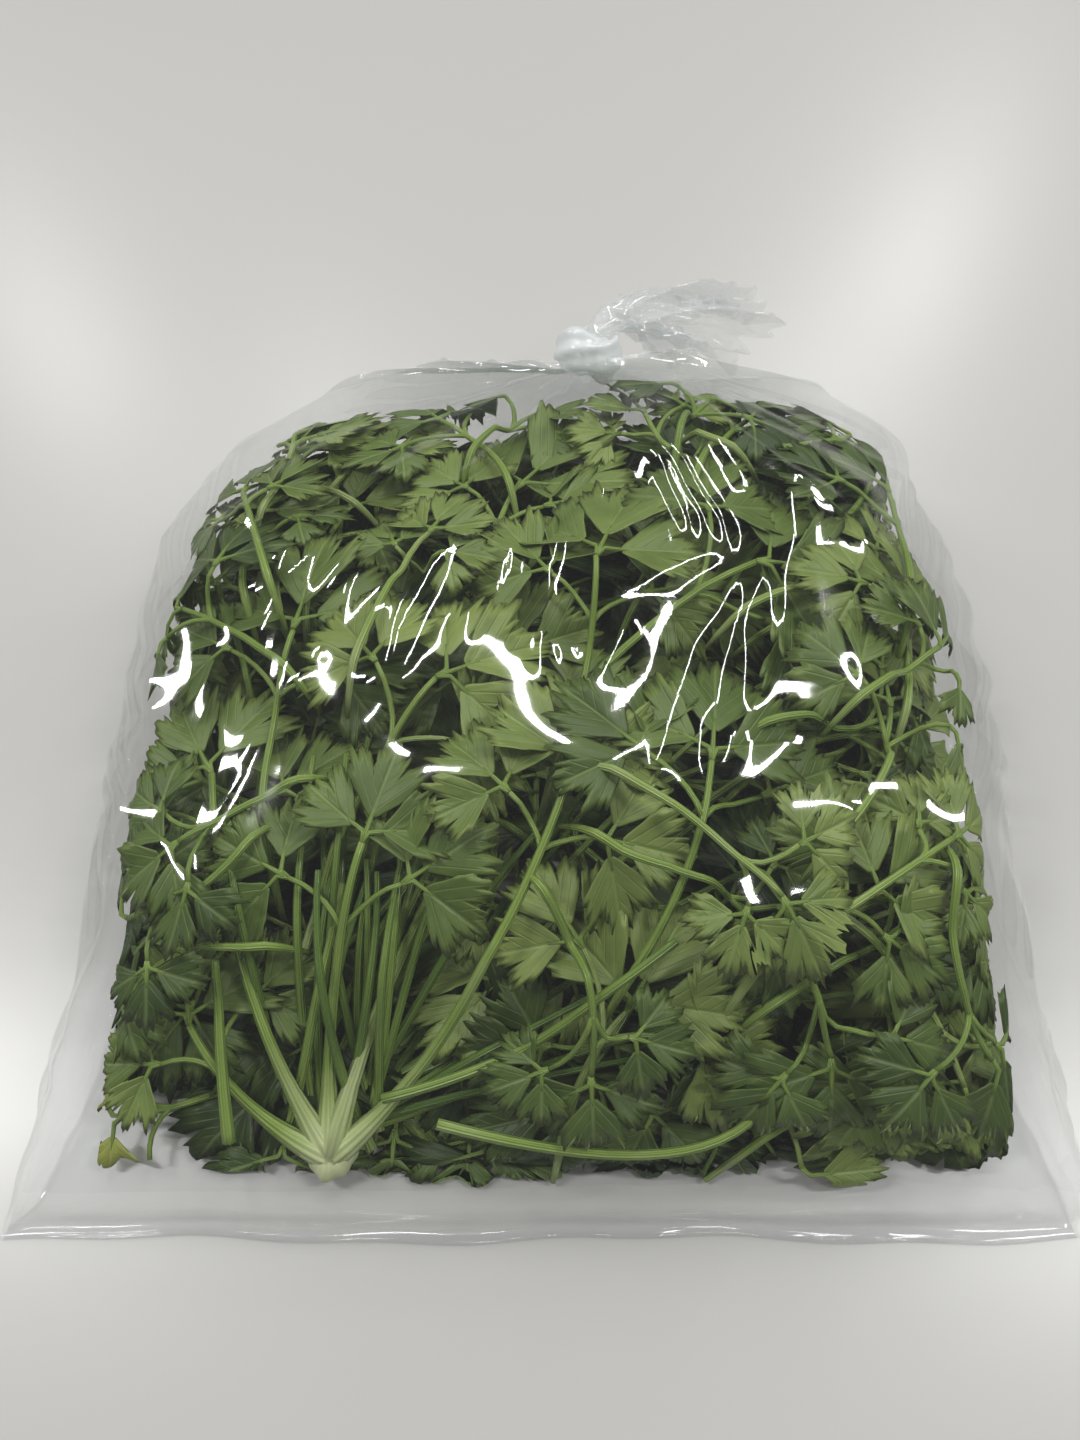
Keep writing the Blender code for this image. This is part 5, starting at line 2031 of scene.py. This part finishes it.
            points = centre + wide[:, None] * np.cos(turn)[:, None] * side
            points = points + deep[:, None] * np.sin(turn)[:, None] * up
            points = points + (fringe - 3.0 * t**4)[:, None] * heading
            return points, np.stack([turn, t, 0.30 - 0.18 * t], axis=1)

        mapped_grid(bm, 150, 54, shape)
        bmesh.ops.solidify(bm, geom=bm.faces, thickness=self.film * MM)
        made = finished("bag_tail_film", bm, [self.clear])
        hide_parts("bag_tail")


@dataclass
class Studio:
    """The table top, the lights and the camera."""

    table: bpy.types.Material
    lens: float = 29.2
    pitch: float = 65.0
    panels: tuple[tuple[str, tuple[float, float, float], tuple[float, float], float], ...] = (
        ("far_left_panel", (-1.15, 1.8, 1.8), (0.12, 0.4), 5.0),
        ("far_right_panel", (0.95, 2.1, 1.8), (0.12, 0.4), 5.0),
        ("near_left_panel", (-0.95, 0.1, 1.8), (0.05, 0.5), 12.5),
        ("near_right_panel", (0.95, 0.0, 1.8), (0.05, 0.5), 12.5),
        ("left_tube", (-0.30, 1.0, 1.8), (0.05, 1.1), 8.0),
        ("right_tube", (0.42, 1.1, 1.8), (0.05, 1.1), 8.0),
        ("left_panel", (-2.1, 0.7, 1.8), (0.1, 0.9), 12.0),
        ("right_panel", (2.1, 0.6, 1.8), (0.1, 0.9), 12.0),
        ("front_panel", (0.5, -1.1, 1.8), (0.12, 0.4), 4.0),
    )

    def build(self) -> None:
        """Builds the studio."""
        bm = bmesh.new()
        bmesh.ops.create_grid(bm, x_segments=1, y_segments=1, size=3.0)
        mesh = bpy.data.meshes.new("table_top")
        bm.to_mesh(mesh)
        bm.free()
        mesh.materials.append(self.table)
        top = bpy.data.objects.new("table_top", mesh)
        bpy.context.scene.collection.objects.link(top)
        for name, at, size, energy in self.panels:
            self.add_light(name, at, (0.0, 0.0, 0.0), size, energy)
        world = bpy.data.worlds.new("studio")
        world.use_nodes = True
        world.node_tree.nodes["Background"].inputs[0].default_value = linear("#e6e8ea")
        world.node_tree.nodes["Background"].inputs[1].default_value = 0.17
        bpy.context.scene.world = world
        data = bpy.data.cameras.new("camera")
        data.lens = self.lens
        data.sensor_width = 36.0
        data.clip_start = 0.01
        camera = bpy.data.objects.new("camera", data)
        camera.location = (0.0, -0.166, 0.357)
        camera.rotation_euler = (math.radians(90 - self.pitch), 0.0, 0.0)
        bpy.context.scene.collection.objects.link(camera)
        bpy.context.scene.camera = camera

    def add_light(
        self, name: str, at: Sequence[float], to: Sequence[float], size: Sequence[float],
        energy: float,
    ) -> None:
        """Adds a rectangular area light that looks at a point.

        Args:
            name: The light's name.
            at: Where it is, in metres.
            to: The point that it looks at.
            size: Its width and height.
            energy: Its power in watts.
        """
        data = bpy.data.lights.new(name, "AREA")
        data.shape = "RECTANGLE"
        data.size, data.size_y = size
        data.energy = energy
        light = bpy.data.objects.new(name, data)
        light.location = at
        light.rotation_euler = (Vector(to) - Vector(at)).to_track_quat("-Z", "Y").to_euler()
        bpy.context.scene.collection.objects.link(light)


def main() -> None:
    """Builds the scene in order: parsley, bag, studio."""
    logging.basicConfig(level=logging.INFO, format="%(name)s %(message)s")
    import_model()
    leaf = LeafFinish().build()
    yellow = LeafFinish(
        "parsley_leaf_yellowed", dark="#7d8438", middle="#9aa04c", light="#b3b263", vein="#c5c688"
    ).build()
    parsley = Parsley(leaf, yellow, StemFinish().build())
    parsley.build()
    clear = FilmFinish("polyethylene_film", haze=0.003).build()
    milky = FilmFinish("polyethylene_film_wound", haze=0.55, gain=1.6).build()
    Bag(clear, milky, parsley.heights).build()
    Studio(TableFinish().build()).build()
    bpy.context.scene.cycles.transparent_max_bounces = 24
    bpy.context.scene.view_settings.view_transform = "Standard"


if __name__ == "__main__":
    main()
